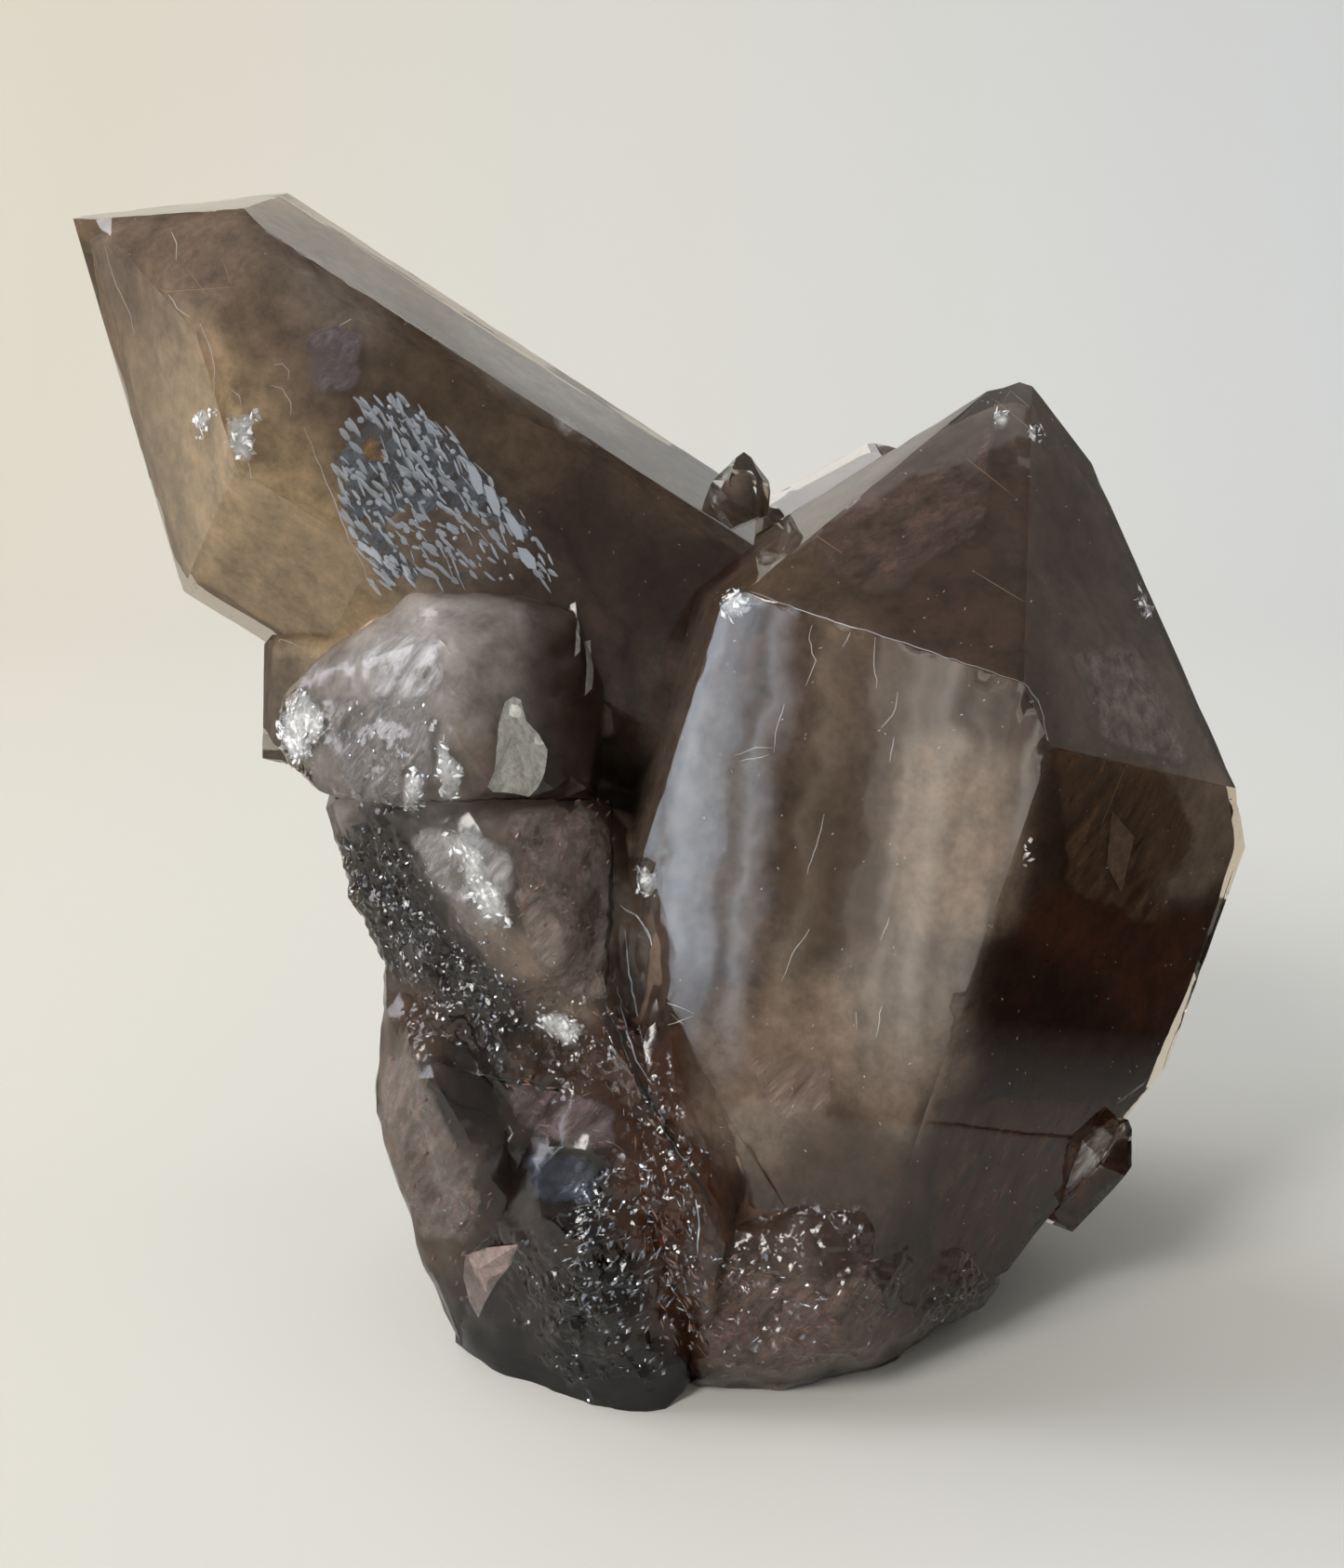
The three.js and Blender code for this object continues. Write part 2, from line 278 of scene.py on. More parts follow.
def kinds_of_faces(work, kind):
    """Marks every face: grown if it is part of a flat crystal face, cut on the base, else broken."""
    left = set(work.faces)
    for start in work.faces:
        if start not in left:
            continue
        left.discard(start)
        region, unseen = [start], [start]
        while unseen:
            face = unseen.pop()
            for edge in face.edges:
                for other in edge.link_faces:
                    if other in left and other.normal.dot(start.normal) > FLAT_TURN:
                        left.discard(other)
                        region.append(other)
                        unseen.append(other)
        area = sum(face.calc_area() for face in region)
        flat = area > GROWN_AREA or (len(region) > 1 and area > GROWN_PAIR_AREA)
        on_base = start.normal.z < FACES_DOWN and start.calc_center_median().z < BASE_REACH
        for face in region:
            face[kind] = CUT if on_base else GROWN if flat else BROKEN
    for face in work.faces:
        if face[kind] != BROKEN:
            continue
        beside = [other for edge in face.edges for other in edge.link_faces if other[kind] == GROWN]
        thin = face.calc_area() < SLIVER_AREA
        if any(thin or other.normal.dot(face.normal) > SLIVER_TURN for other in beside):
            face[kind] = GROWN


HALVINGS = 9
STEP_SLACK = 1.4


def halve_edges(work, step_of):
    """Halves every edge that is much longer than its step, until none is."""
    for _ in range(HALVINGS):
        long_edges = [edge for edge in work.edges if edge.calc_length() > step_of(edge) * STEP_SLACK]
        if not long_edges:
            break
        bmesh.ops.subdivide_edges(work, edges=long_edges, cuts=1)
        bmesh.ops.triangulate(work, faces=[f for f in work.faces if len(f.verts) > 3])


# Where the break is rough: a place in mm, how far it reaches, the height of its chips and their width.
HACKLE = [
    ((-52, -12, 66), 14, 0.8, 2.0),
    ((-42, -22, 56), 11, 0.7, 1.9),
    ((-26, -26, 52), 13, 0.65, 2.2),
    ((-36, -24, 68), 8, 0.35, 1.6),
    ((-12, -36, 25), 13, 0.9, 2.8),
    ((-22, -38, 16), 9, 0.7, 2.4),
    ((-6, -32, 40), 12, 0.55, 2.0),
    ((0, -38, 16), 10, 0.6, 2.2),
    ((14, -38, 18), 16, 0.6, 2.2),
    ((34, -26, 10), 12, 0.5, 2.0),
    ((-29, -38, 16), 12, 0.7, 3.2),
    ((-36, -36, 37), 9, 0.5, 2.8),
    ((-43, -30, 23), 10, 0.4, 3.4),
    ((-20, -40, 6), 12, 0.7, 3.0),
    ((-62, 0, 88), 9, 0.5, 1.8),
    ((-48, -14, 86), 10, 0.24, 1.5),
    ((10, 50, 40), 60, 0.7, 3.4),
    ((-30, 40, 60), 40, 0.6, 3.0),
]
# The break's long swells: the width of their flats in mm, how high they stand in mm, and their seeds.
SWELLS = [(9, 0.6, 5), (3.4, 0.2, 9)]
HACKLE_TURN = Quaternion((0.3, 1, 0.2), math.radians(34))
ROUGH_SPOTS = [(Vector(middle) * MM, (reach * MM) ** 2, height) for middle, reach, height, _ in HACKLE]
AT_FLATS = 0.6
CORNER_TURN = 0.98
WEAR_DEEP = 0.35
WEAR_LONG = 3 * MM
RIDGE_HIGH = 2.2


def facets(place, cell, seed):
    """Height of a surface of small flats that meet in ridges, about -1 to 1, for a given size of flat."""
    spot = HACKLE_TURN @ place / cell + Vector((seed, seed * 0.7, -seed))
    near, _ = noise.voronoi(spot, distance_metric="CHEBYCHEV")
    return 1 - RIDGE_HIGH * near[0]


def roughness_at(place):
    """How rough the break is at a place, from 0 to about 1."""
    return max(
        height * (1 - (place - middle).length_squared / reach) for middle, reach, height in ROUGH_SPOTS
    )


def break_height(place):
    """Height of the broken skin in mm: long swells everywhere, and chips where it is rough."""
    height = sum(high * facets(place, cell * MM, seed) for cell, high, seed in SWELLS)
    for number, (middle, reach, high, cell) in enumerate(HACKLE):
        away = (place - Vector(middle) * MM).length / (reach * MM)
        if away < 1:
            height += (1 - away * away) * high * facets(place, cell * MM, number)
    return height


def break_skin(work, kind):
    """Pushes hackle into the broken skin, and wears the crystals' edges a little."""
    moves = {}
    for vert in work.verts:
        broken = [f for f in vert.link_faces if f[kind] == BROKEN]
        flats = [f for f in vert.link_faces if f[kind] != BROKEN and f.calc_area() > SLIVER_AREA]
        if broken:
            push = sum((face.normal * face.calc_area() for face in broken), Vector()).normalized()
            move = push * break_height(vert.co) * MM
            for face in flats:
                move -= face.normal * move.dot(face.normal)
            moves[vert] = move * AT_FLATS if flats else move
        elif flats and any(f.normal.dot(flats[0].normal) < CORNER_TURN for f in flats):
            wear = max(0.0, WEAR_DEEP * noise.noise(vert.co / WEAR_LONG))
            moves[vert] = -vert.normal * wear * MM
    for vert, move in moves.items():
        vert.co += move
        vert.co.z = max(vert.co.z, 0.0)


# How rough its skin is: on the glassy grown flats, on the waxy break, and on the cleaved flats of the hackle.
GLASSY, WAXY, CLEAVED = 0.03, 0.2, 0.07
FACET_WIDTH = 0.9 * MM
FACET_LONG = 0.55
LEAST_TILT, MOST_TILT = 0.06, 0.3
GROWTH_SWING = 0.018
GROWTH_HILLS = 9.09 * MM


def smoky_quartz():
    """Smoky quartz, grown and broken: glassy flats, waxy torn skin with fine chips, and crisp bright hackle.

    torn is 0 on the grown flats and 1 on the break; hackled is 1 where the break is roughest. The smoke is
    plain absorption, so thin edges look pale and thick parts dark brown."""
    made, tree = new_material("smoky_quartz")
    place = add_node(tree, "ShaderNodeTexCoord").outputs["Object"]
    torn = add_node(tree, "ShaderNodeAttribute", {"attribute_name": "torn"}).outputs["Fac"]
    hackled = add_node(tree, "ShaderNodeAttribute", {"attribute_name": "hackled"}).outputs["Fac"]
    waxy = add_node(tree, "ShaderNodeMapRange", {"To Min": GLASSY, "To Max": WAXY}, {"Value": torn})
    rough = add_node(tree, "ShaderNodeMix", {"B": CLEAVED}, {"Factor": hackled, "A": waxy})
    flakes = add_node(tree, "ShaderNodeMapping", {"Scale": (1.0, 1.0, FACET_LONG)}, {"Vector": place})
    cells = add_node(tree, "ShaderNodeTexVoronoi", {"Scale": 1 / FACET_WIDTH}, {"Vector": flakes})
    centred = add_node(
        tree, "ShaderNodeVectorMath", {"operation": "SUBTRACT", 1: (0.5,) * 3}, {0: cells.outputs["Color"]}
    )
    strength = add_node(
        tree, "ShaderNodeMapRange", {"To Min": LEAST_TILT, "To Max": MOST_TILT}, {"Value": hackled}
    )
    tilting = add_node(tree, "ShaderNodeMath", {"operation": "MULTIPLY"}, {0: strength, 1: torn})
    tilt = add_node(tree, "ShaderNodeVectorMath", {"operation": "SCALE"}, {0: centred, "Scale": tilting})
    upright = add_node(tree, "ShaderNodeNewGeometry").outputs["Normal"]
    hills = add_node(
        tree, "ShaderNodeTexNoise", {"Scale": 1 / GROWTH_HILLS, "Detail": 3.0}, {"Vector": place}
    )
    swing = add_node(
        tree, "ShaderNodeVectorMath",
        {"operation": "MULTIPLY_ADD", 1: (GROWTH_SWING,) * 3, 2: (-GROWTH_SWING / 2,) * 3},
        {0: hills.outputs["Color"]},
    )
    waved = add_node(tree, "ShaderNodeVectorMath", {"operation": "ADD"}, {0: upright, 1: swing})
    tilted = add_node(tree, "ShaderNodeVectorMath", {"operation": "ADD"}, {0: waved, 1: tilt})
    normal = add_node(tree, "ShaderNodeVectorMath", {"operation": "NORMALIZE"}, {0: tilted})
    shader = add_node(
        tree, "ShaderNodeBsdfPrincipled",
        {"Base Color": linear("#ffffff"), "IOR": 1.544, "Transmission Weight": 1.0},
        {"Roughness": rough, "Normal": normal},
    )
    smoke = add_node(tree, "ShaderNodeVolumeAbsorption", {"Density": 32.0, "Color": linear("#bc9c61")})
    add_node(tree, "ShaderNodeOutputMaterial", {}, {"Surface": shader, "Volume": smoke})
    return made


# How finely the skin is cut, and where edges are crisp. Only the front, seen from near, has the finest chips.
GROWN_STEP = 2.4 * MM
BROKEN_STEP = 1.3 * MM
ROUGH_STEP = 0.55 * MM
ROUGH_FROM = 0.12
FRONT = 8 * MM
SHARP_TURN = math.radians(16)
CRISP = 0.3
HACKLED_LIFT = 1.6


def skin_step(edge, kind):
    """How long an edge may be: short where the break is rough, longest on the flat faces."""
    if all(face[kind] != BROKEN for face in edge.link_faces):
        return GROWN_STEP
    start = edge.verts[0].co
    return ROUGH_STEP if start.y < FRONT and roughness_at(start) > ROUGH_FROM else BROKEN_STEP


def crystal_body():
    """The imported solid's skin, cut finely, broken where it was torn, and named for its kinds of skin."""
    work = bmesh.new()
    work.from_mesh(bpy.data.objects["quartz_cluster"].data)
    bmesh.ops.remove_doubles(work, verts=work.verts, dist=1e-6)
    kind = work.faces.layers.int.new("kind")
    kinds_of_faces(work, kind)
    halve_edges(work, lambda edge: skin_step(edge, kind))
    break_skin(work, kind)
    torn = work.verts.layers.float.new("torn")
    hackled = work.verts.layers.float.new("hackled")
    for vert in work.verts:
        if any(f[kind] == BROKEN for f in vert.link_faces):
            vert[torn] = 1.0
            vert[hackled] = max(0.0, min(1.0, roughness_at(vert.co) * HACKLED_LIFT))
    for face in work.faces:
        face.smooth = True
    for edge in work.edges:
        sides = edge.link_faces
        mixed = len({f[kind] for f in sides}) > 1
        crisp = min(vert[hackled] for vert in edge.verts) > CRISP
        edge.smooth = not (mixed or crisp or edge.calc_face_angle(0.0) > SHARP_TURN)
    mesh = bpy.data.meshes.new("crystals")
    work.to_mesh(mesh)
    work.free()
    mesh.materials.append(smoky_quartz())
    body = new_object("crystals", mesh)
    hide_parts("quartz_cluster")
    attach(body, "root")
    return body


body = crystal_body()

# The growth layers inside the crystals. As each grew, fine dust settled on its faces again and again, and was
# grown over. The layers follow the faces, and so they are built from the same flats as the crystals are.
# A crystal's centre and its flats' distances from there are in mm; its lean, heading and turn in degrees.
RHOMB_ANGLE = math.radians(51.79)
TALL = {
    "centre": (33, 1.5, 65), "lean": 18.2, "heading": 18.6, "turn": -22.6, "foot": 75,
    "prism": (32, 28, 41, 27, 38, 47.5), "tip": (46.3, 39, 44, 46.3, 55, 56.7),
    "breaks": [
        ((-12, -15, 73), (-11, -21, 48), (-16, -7, 56)), ((-11, -21, 48), (-1, -29, 28), (-9, -19, 27)),
        ((-1, -29, 28), (9, -34, 21), (1, -26, 9)), ((69, -3, 38), (42, -20, 11), (45, 20, 5)),
        ((42, -20, 11), (27, -31, 9), (30, 0, 0)),
    ],
}
LEANING = {
    "centre": (-45, 30, 132), "lean": 57.2, "heading": 179.9, "turn": 23.1, "foot": 62,
    "prism": (19.7, 14.1, 21.5, 28, 41, 33.7), "tip": (36.9, 35.5, 44, 50, 44, 38.5),
    "breaks": [],
}
LAYER_STEP = 3.5 * MM
LAYER_CLEAR = 0.3 * MM
BLANK_SIZE = 0.6
LONG_SWELL, SHORT_SWELL = 13 * MM, 4 * MM
DOWN = Vector((0, 0, -1))


def grown_planes(form):
    """Each flat of a grown crystal, as its outward normal and a point on it."""
    lean, heading, turn = (math.radians(form[key]) for key in ("lean", "heading", "turn"))
    axis = Vector((math.sin(lean) * math.cos(heading), math.sin(lean) * math.sin(heading), math.cos(lean)))
    front = Vector((0, -1, 0))
    front = (front - axis * front.dot(axis)).normalized()
    front.rotate(Quaternion(axis, turn))
    side = axis.cross(front)
    centre = Vector(form["centre"]) * MM
    planes = [(-axis, centre - axis * form["foot"] * MM), (DOWN, Vector())]
    for k in range(6):
        outward = front * math.cos(k * math.pi / 3) + side * math.sin(k * math.pi / 3)
        tipward = outward * math.sin(RHOMB_ANGLE) + axis * math.cos(RHOMB_ANGLE)
        planes.append((outward, centre + outward * form["prism"][k] * MM))
        planes.append((tipward, centre + tipward * form["tip"][k] * MM))
    for corners in form["breaks"]:
        a, b, c = (Vector(corner) * MM for corner in corners)
        normal = (b - a).cross(c - a).normalized()
        if normal.dot(centre - a) > 0:
            normal.negate()
        planes.append((normal, a))
    return planes


def layer(form, inset, waver):
    """A closed skin that follows a crystal's faces, an inset below them, and wavers inwards."""
    work = bmesh.new()
    bmesh.ops.create_cube(work, size=BLANK_SIZE)
    for normal, point in grown_planes(form):
        everything = work.verts[:] + work.edges[:] + work.faces[:]
        cut = bmesh.ops.bisect_plane(
            work, geom=everything, dist=1e-7, plane_co=point - normal * inset, plane_no=normal,
            clear_outer=True,
        )
        rim = [part for part in cut["geom_cut"] if isinstance(part, bmesh.types.BMEdge)]
        if rim:
            bmesh.ops.edgeloop_fill(work, edges=rim)
    bmesh.ops.triangulate(work, faces=work.faces)
    bmesh.ops.recalc_face_normals(work, faces=work.faces)
    halve_edges(work, lambda edge: LAYER_STEP)
    work.normal_update()
    for vert in work.verts:
        swell = 0.5 + 0.5 * noise.noise(vert.co / LONG_SWELL) + 0.2 * noise.noise(vert.co / SHORT_SWELL)
        vert.co -= vert.normal * waver * max(0.0, swell)
        vert.co.z = max(vert.co.z, LAYER_CLEAR)
    return work


def keep_piece(name, mesh, smooth=True):
    """A finished mesh as a named piece that rides with the cluster."""
    mesh.polygons.foreach_set("use_smooth", [smooth] * len(mesh.polygons))
    piece = new_object(name, mesh)
    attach(piece, "root")
    return piece


def add_piece(name, work, material, smooth=True):
    """Turns a finished bmesh into a named piece."""
    mesh = bpy.data.meshes.new(name)
    work.to_mesh(mesh)
    work.free()
    mesh.materials.append(material)
    return keep_piece(name, mesh, smooth)


PICTURE_MIDDLE = (722.5, 843.0)
USUAL_REACH = 0.3
skin_tree = BVHTree.FromPolygons(
    [vert.co for vert in body.data.vertices], [face.vertices[:] for face in body.data.polygons]
)


def sight(u, v, sink=0.0):
    """Where the line of sight through a picture point meets the skin, sunk below it in mm.

    A line that passes beside the skin takes the nearest place on it."""
    way = Vector(((u - PICTURE_MIDDLE[0]) / FOCAL_PX, 1.0, (PICTURE_MIDDLE[1] - v) / FOCAL_PX))
    way.rotate(Quaternion((1, 0, 0), -CAMERA_DIP))
    place, facing, _, _ = skin_tree.ray_cast(CAMERA_PLACE, way)
    if place is None:
        place, facing, _, _ = skin_tree.find_nearest(CAMERA_PLACE + way * USUAL_REACH)
    return place - facing * sink * MM


# The tints of the dust and where each lies. In front: picture points, each with its reach in mm.
# Behind: places in mm, each with its reach. The front tints hold painted light as well as dust: the palest,
# on the left mass's top, are a painted highlight, and the near-black ones low on the root and on the low
# right face are partly painted shade.
FRONT_DUST_AND_PAINTED_LIGHT = {
    # Painted highlight: the soft bright band on the left mass's top, where it mirrors the window.
    "#dcd8d8": [((385, 700), 9), ((430, 710), 8)],
    "#d0b894": [((200, 430), 14), ((260, 560), 16), ((340, 620), 14)],
    "#aca4a0": [
        ((420, 240), 10), ((560, 390), 10), ((340, 730), 7), ((540, 700), 8), ((380, 800), 8),
        ((430, 830), 7), ((520, 740), 8), ((480, 900), 6), ((520, 960), 6),
    ],
    "#a49080": [
        ((170, 330), 12), ((330, 380), 12), ((600, 920), 9), ((620, 1020), 9), ((820, 1170), 9),
        ((1290, 900), 8), ((1020, 900), 9), ((960, 1150), 9),
    ],
    "#88786c": [
        ((120, 250), 12), ((260, 300), 14), ((470, 540), 12), ((540, 830), 7), ((430, 1200), 9),
        ((900, 1460), 9), ((760, 900), 12), ((985, 1100), 8), ((1260, 760), 9),
    ],
    "#7a685c": [((830, 1400), 9), ((860, 740), 10), ((1180, 720), 10), ((700, 1040), 6), ((1200, 860), 9)],
    "#6c5846": [
        ((420, 380), 14), ((560, 480), 10), ((700, 520), 8), ((660, 900), 5), ((900, 600), 10),
        ((450, 1280), 8),
    ],
    "#5a463a": [
        ((600, 640), 9), ((430, 1110), 7), ((590, 1190), 7), ((800, 1320), 7), ((900, 1260), 9),
        ((880, 900), 10), ((1000, 620), 10), ((1040, 520), 8), ((1080, 690), 9), ((1150, 560), 9),
    ],
    "#5c3824": [((690, 1180), 7), ((720, 1300), 7), ((740, 1420), 7), ((1180, 980), 10), ((1250, 1050), 9)],
    "#463228": [
        ((640, 560), 10), ((600, 720), 7), ((620, 820), 7), ((720, 620), 6), ((765, 620), 5),
        ((540, 1340), 7), ((950, 1380), 9), ((1150, 900), 8),
    ],
    # Darker towards the bottom of the low right face: partly the smoke, partly painted shade where the
    # cluster rests on the paper.
    "#361e10": [
        ((1085, 1090), 8), ((1120, 1100), 10), ((1060, 1220), 10), ((1180, 1160), 9), ((1050, 1330), 9),
    ],
    "#2c2424": [((420, 900), 6), ((430, 980), 8), ((500, 1060), 7), ((490, 1180), 6), ((600, 1270), 8)],
    # Near black at the bottom of the root: partly the smoke, partly painted shade where it rests on the
    # paper.
    "#1a1010": [((620, 1400), 9), ((560, 1480), 9), ((700, 1480), 8)],
}
BACK_DUST = {
    "#9a8468": [((-80, 40, 130), 30)],
    "#6e6056": [((0, 50, 60), 36), ((-57, 31, 90), 14), ((50, 30, 100), 30), ((-40, 40, 40), 24)],
    "#423028": [((60, 20, 40), 24), ((0, 30, 10), 40)],
}
DUST_DEEP = 3.0
TINT_LIFT = 1.05
TINT_SPREAD = 2.2
FAINTEST = 1e-7
TINT_PLACES = [
    (sight(*point, DUST_DEEP), reach * MM, linear(colour))
    for colour, settled in FRONT_DUST_AND_PAINTED_LIGHT.items() for point, reach in settled
]
TINT_PLACES += [
    (Vector(middle) * MM, reach * MM, linear(colour))
    for colour, settled in BACK_DUST.items() for middle, reach in settled
]


def tint_at(place):
    """The tint at a place, dust with the painted highlight and painted shade of the front tints: all the
    tints, each weighed by how near it is.
    """
    total, mixed = 1e-9, [0.0, 0.0, 0.0]
    for middle, reach, colour in TINT_PLACES:
        weight = math.exp(-TINT_SPREAD * (place - middle).length_squared / (reach * reach)) + FAINTEST
        total += weight
        for k in range(3):
            mixed[k] += weight * colour[k] * TINT_LIFT
    return [value / total for value in mixed] + [1.0]


def tint_piece(mesh):
    """Stores the tint, dust with its painted highlight and painted shade, on every vertex of a mesh."""
    tints = mesh.attributes.new("tint", "FLOAT_COLOR", "POINT")
    for vert, value in zip(mesh.vertices, tints.data):
        value.color = tint_at(vert.co)


# Where dust lies in streaks, they fall to the right by this turn.
STREAK_TURN = (0.0, 0.75, 0.0)


def cloudy_film(name, least, most, cell, gloss=0.0, streak=1.0):
    """A cloudy film, thick and thin, in the tint stored on its mesh: dust too fine to see grain by grain, and
    on the heart and some veils painted light as well.
    """
    made, tree = new_material(name)
    place = add_node(tree, "ShaderNodeTexCoord").outputs["Object"]
    along = add_node(
        tree, "ShaderNodeMapping",
        {"vector_type": "TEXTURE", "Rotation": STREAK_TURN, "Scale": (1.0, 1.0, streak)},
        {"Vector": place},
    )
    tint = add_node(tree, "ShaderNodeAttribute", {"attribute_name": "tint"}).outputs
    cloudy = {"Scale": 1 / cell, "Detail": 4.0, "Roughness": 0.62}
    cloud = add_node(tree, "ShaderNodeTexNoise", cloudy, {"Vector": along})
    blotted = {"Scale": 3 / cell, "Detail": 7.0, "Roughness": 0.72}
    blots = add_node(tree, "ShaderNodeTexNoise", blotted, {"Vector": along})
    alpha = add_node(
        tree, "ShaderNodeMapRange", {"From Min": 0.36, "From Max": 0.64, "To Min": least, "To Max": most},
        {"Value": cloud},
    )
    mottle = add_node(
        tree, "ShaderNodeMapRange", {"From Min": 0.34, "From Max": 0.7, "To Min": 0.6, "To Max": 1.35},
        {"Value": blots},
    )
    shade = add_node(
        tree, "ShaderNodeVectorMath", {"operation": "SCALE"}, {0: tint["Color"], "Scale": mottle}
    )
    fade = add_node(tree, "ShaderNodeMath", {"operation": "MULTIPLY"}, {0: alpha, 1: tint["Alpha"]})
    shader = add_node(
        tree, "ShaderNodeBsdfPrincipled", {"Roughness": 1.0 - 0.8 * gloss, "Specular IOR Level": gloss},
        {"Base Color": shade, "Alpha": fade},
    )
    add_node(tree, "ShaderNodeOutputMaterial", {}, {"Surface": shader})
    return made


# The clouded heart of the cluster. Below the outer layers the older dust and, in the torn root, the healed
# cracks run together into one cloud, which the clear skin surrounds on every side.
# Small crystals: centre in mm, lean, heading and turn in degrees, then radius, reach and foot in mm.
SMALL_CRYSTALS = [
    ((3, 37, 117), 8, 60, 10, 4.3, 9.5, 12),
    ((22, 45, 107), 62, 6, 5, 15, 29, 30),
    ((-57, 31, 84), 4, 0, 32, 17.5, 34, 5),
    ((-14, 42, 72), 74, 105, 14, 11, 34, 20),
    ((12, 38, 58), 40, 82, 20, 15, 40, 40),
    ((-26, 34, 48), 48, 118, 38, 12, 36, 30),
    ((38, 34, 46), 68, 62, 25, 9, 30, 20),
    ((20, 40, 30), 80, 96, 8, 6, 20, 15),
    ((-34, 36, 44), 66, 132, 20, 6.5, 22, 15),
]
SMALL_WIDE = (1, 0.94, 1.08, 1, 0.92, 1.06)
SMALL_STEEP = (0, 0.12, 0, 0.1, 0, 0.14)
HEART_VOXEL = 1.4 * MM
# The root's clouds: middle, reach and least depth below the skin, in mm.
CLOUDS = [
    ((-41, 4, 96), 26, 2.2),
    ((-38, 4, 66), 24, 2.4),
    ((-41, -6, 32), 24, 2.2),
    ((-20, -16, 20), 26, 2.6),
    ((-6, -22, 32), 18, 2.0),
    ((14, -22, 13), 26, 2.4),
    ((-30, -4, 50), 24, 2.6),
    ((2, 26, 55), 40, 3.0),
    ((5, 20, 18), 36, 3.0),
]


def small_form(centre, lean, heading, turn, radius, reach, foot):
    """A small crystal in the same terms as the large ones."""
    return {
        "centre": centre, "lean": lean, "heading": heading, "turn": turn, "foot": foot, "breaks": [],
        "prism": [wide * radius for wide in SMALL_WIDE],
        "tip": [math.cos(RHOMB_ANGLE) * reach + steep * radius for steep in SMALL_STEEP],
    }


CLOUD_DETAIL = 5
CLOUD_SWELL, CLOUD_RIPPLE = 0.12, 0.05
CLOUD_PITS = 1.2
CLOUD_LEAST = 0.5 * MM
CLOUD_CLEAR = 0.4 * MM


def cloud(middle, reach, skin, seed):
    """A closed cloud that fills a mass from its middle to a little below the skin."""
    work = bmesh.new()
    bmesh.ops.create_icosphere(work, subdivisions=CLOUD_DETAIL, radius=1.0)
    start = Vector(middle) * MM
    for vert in work.verts:
        way = vert.co.normalized()
        hit, _, _, far = skin_tree.ray_cast(start, way, reach * MM + 0.02)
        room = (far if hit is not None else 1.0) - skin * MM
        shift = Vector((seed, 0, 0))
        swell = 1 + CLOUD_SWELL * noise.noise(way * 2.4 + shift) + CLOUD_RIPPLE * noise.noise(way * 7)
        pit = abs(noise.noise(way * 5)) * CLOUD_PITS * MM
        vert.co = start + way * max(CLOUD_LEAST, min(room, reach * MM * swell) - pit)
        vert.co.z = max(vert.co.z, CLOUD_CLEAR)
    return work


def clouded_heart():
    """The inner layers and the root's clouds, joined in one closed skin."""
    parts = [layer(TALL, inset=0.9 * MM, waver=2.6 * MM), layer(LEANING, inset=1.9 * MM, waver=3.6 * MM)]
    parts += [layer(small_form(*small), inset=1.6 * MM, waver=0.6 * MM) for small in SMALL_CRYSTALS]
    parts += [cloud(middle, reach, skin, number) for number, (middle, reach, skin) in enumerate(CLOUDS)]
    joined = bpy.data.meshes.new("heart_parts")
    whole = bmesh.new()
    for part in parts:
        part.to_mesh(joined)
        part.free()
        whole.from_mesh(joined)
    whole.to_mesh(joined)
    whole.free()
    holder = new_object("heart_parts", joined)
    remesh = holder.modifiers.new("one skin", "REMESH")
    remesh.mode = "VOXEL"
    remesh.voxel_size = HEART_VOXEL
    evaluated = holder.evaluated_get(bpy.context.evaluated_depsgraph_get())
    work = bmesh.new()
    work.from_mesh(evaluated.to_mesh())
    bpy.data.objects.remove(holder)
    return work


# The heart takes the front tints, so its colour carries their painted highlight and painted shade with the
# dust.
heart_dust_and_painted_light = cloudy_film("heart_dust_and_painted_light", least=0.9, most=1.0, cell=14 * MM)
heart = add_piece("clouded_heart", clouded_heart(), heart_dust_and_painted_light)
tint_piece(heart.data)

# Veils: cracks that opened while the crystals grew, and healed with films of dust and fluid in them. Each is
# a soft, ragged sheet a fraction of a millimetre below the skin, in the colour of its own dust. Some sheets
# are
# painted light instead: a painted highlight on the left mass's top, and cool blue-grey painted reflections of
# the window on a smooth hollow of the root and on the healed face.
RAG_SEED = 7
noise.seed_set(RAG_SEED)
SHEET_STEP = 5.0
SHEET_THICK = 0.3
RAG_LONG, RAG_WIDE = 16, 1.8
CELL_STRAY = 0.6
RIM_CELLS, RIM_FADE = 8, 7


def within(outline, u, v):
    """Whether a picture point lies within an outline of picture points."""
    crossings = 0
    for (u0, v0), (u1, v1) in zip(outline, outline[1:] + outline[:1]):
        if (v0 > v) != (v1 > v) and u < u0 + (v - v0) / (v1 - v0) * (u1 - u0):
            crossings += 1
    return crossings % 2 == 1


def cells_within(outline):
    """The cells of a ragged grid that lie within an outline, none touching another only at a corner."""
    left, top = min(u for u, _ in outline), min(v for _, v in outline)
    wide = int((max(u for u, _ in outline) - left) / SHEET_STEP) + 2
    high = int((max(v for _, v in outline) - top) / SHEET_STEP) + 2
    cells = set()
    for i in range(-1, wide):
        for j in range(-1, high):
            u, v = left + (i + 0.5) * SHEET_STEP, top + (j + 0.5) * SHEET_STEP
            stray = noise.noise_vector(Vector((u, v, 0)) / RAG_LONG) * SHEET_STEP * RAG_WIDE
            if within(outline, u + stray.x, v + stray.y):
                cells.add((i, j))
    for i, j in sorted(cells):
        for side in (-1, 1):
            if (i + side, j + 1) in cells and (i + side, j) not in cells and (i, j + 1) not in cells:
                cells.add((i, j + 1))
    return cells, left, top


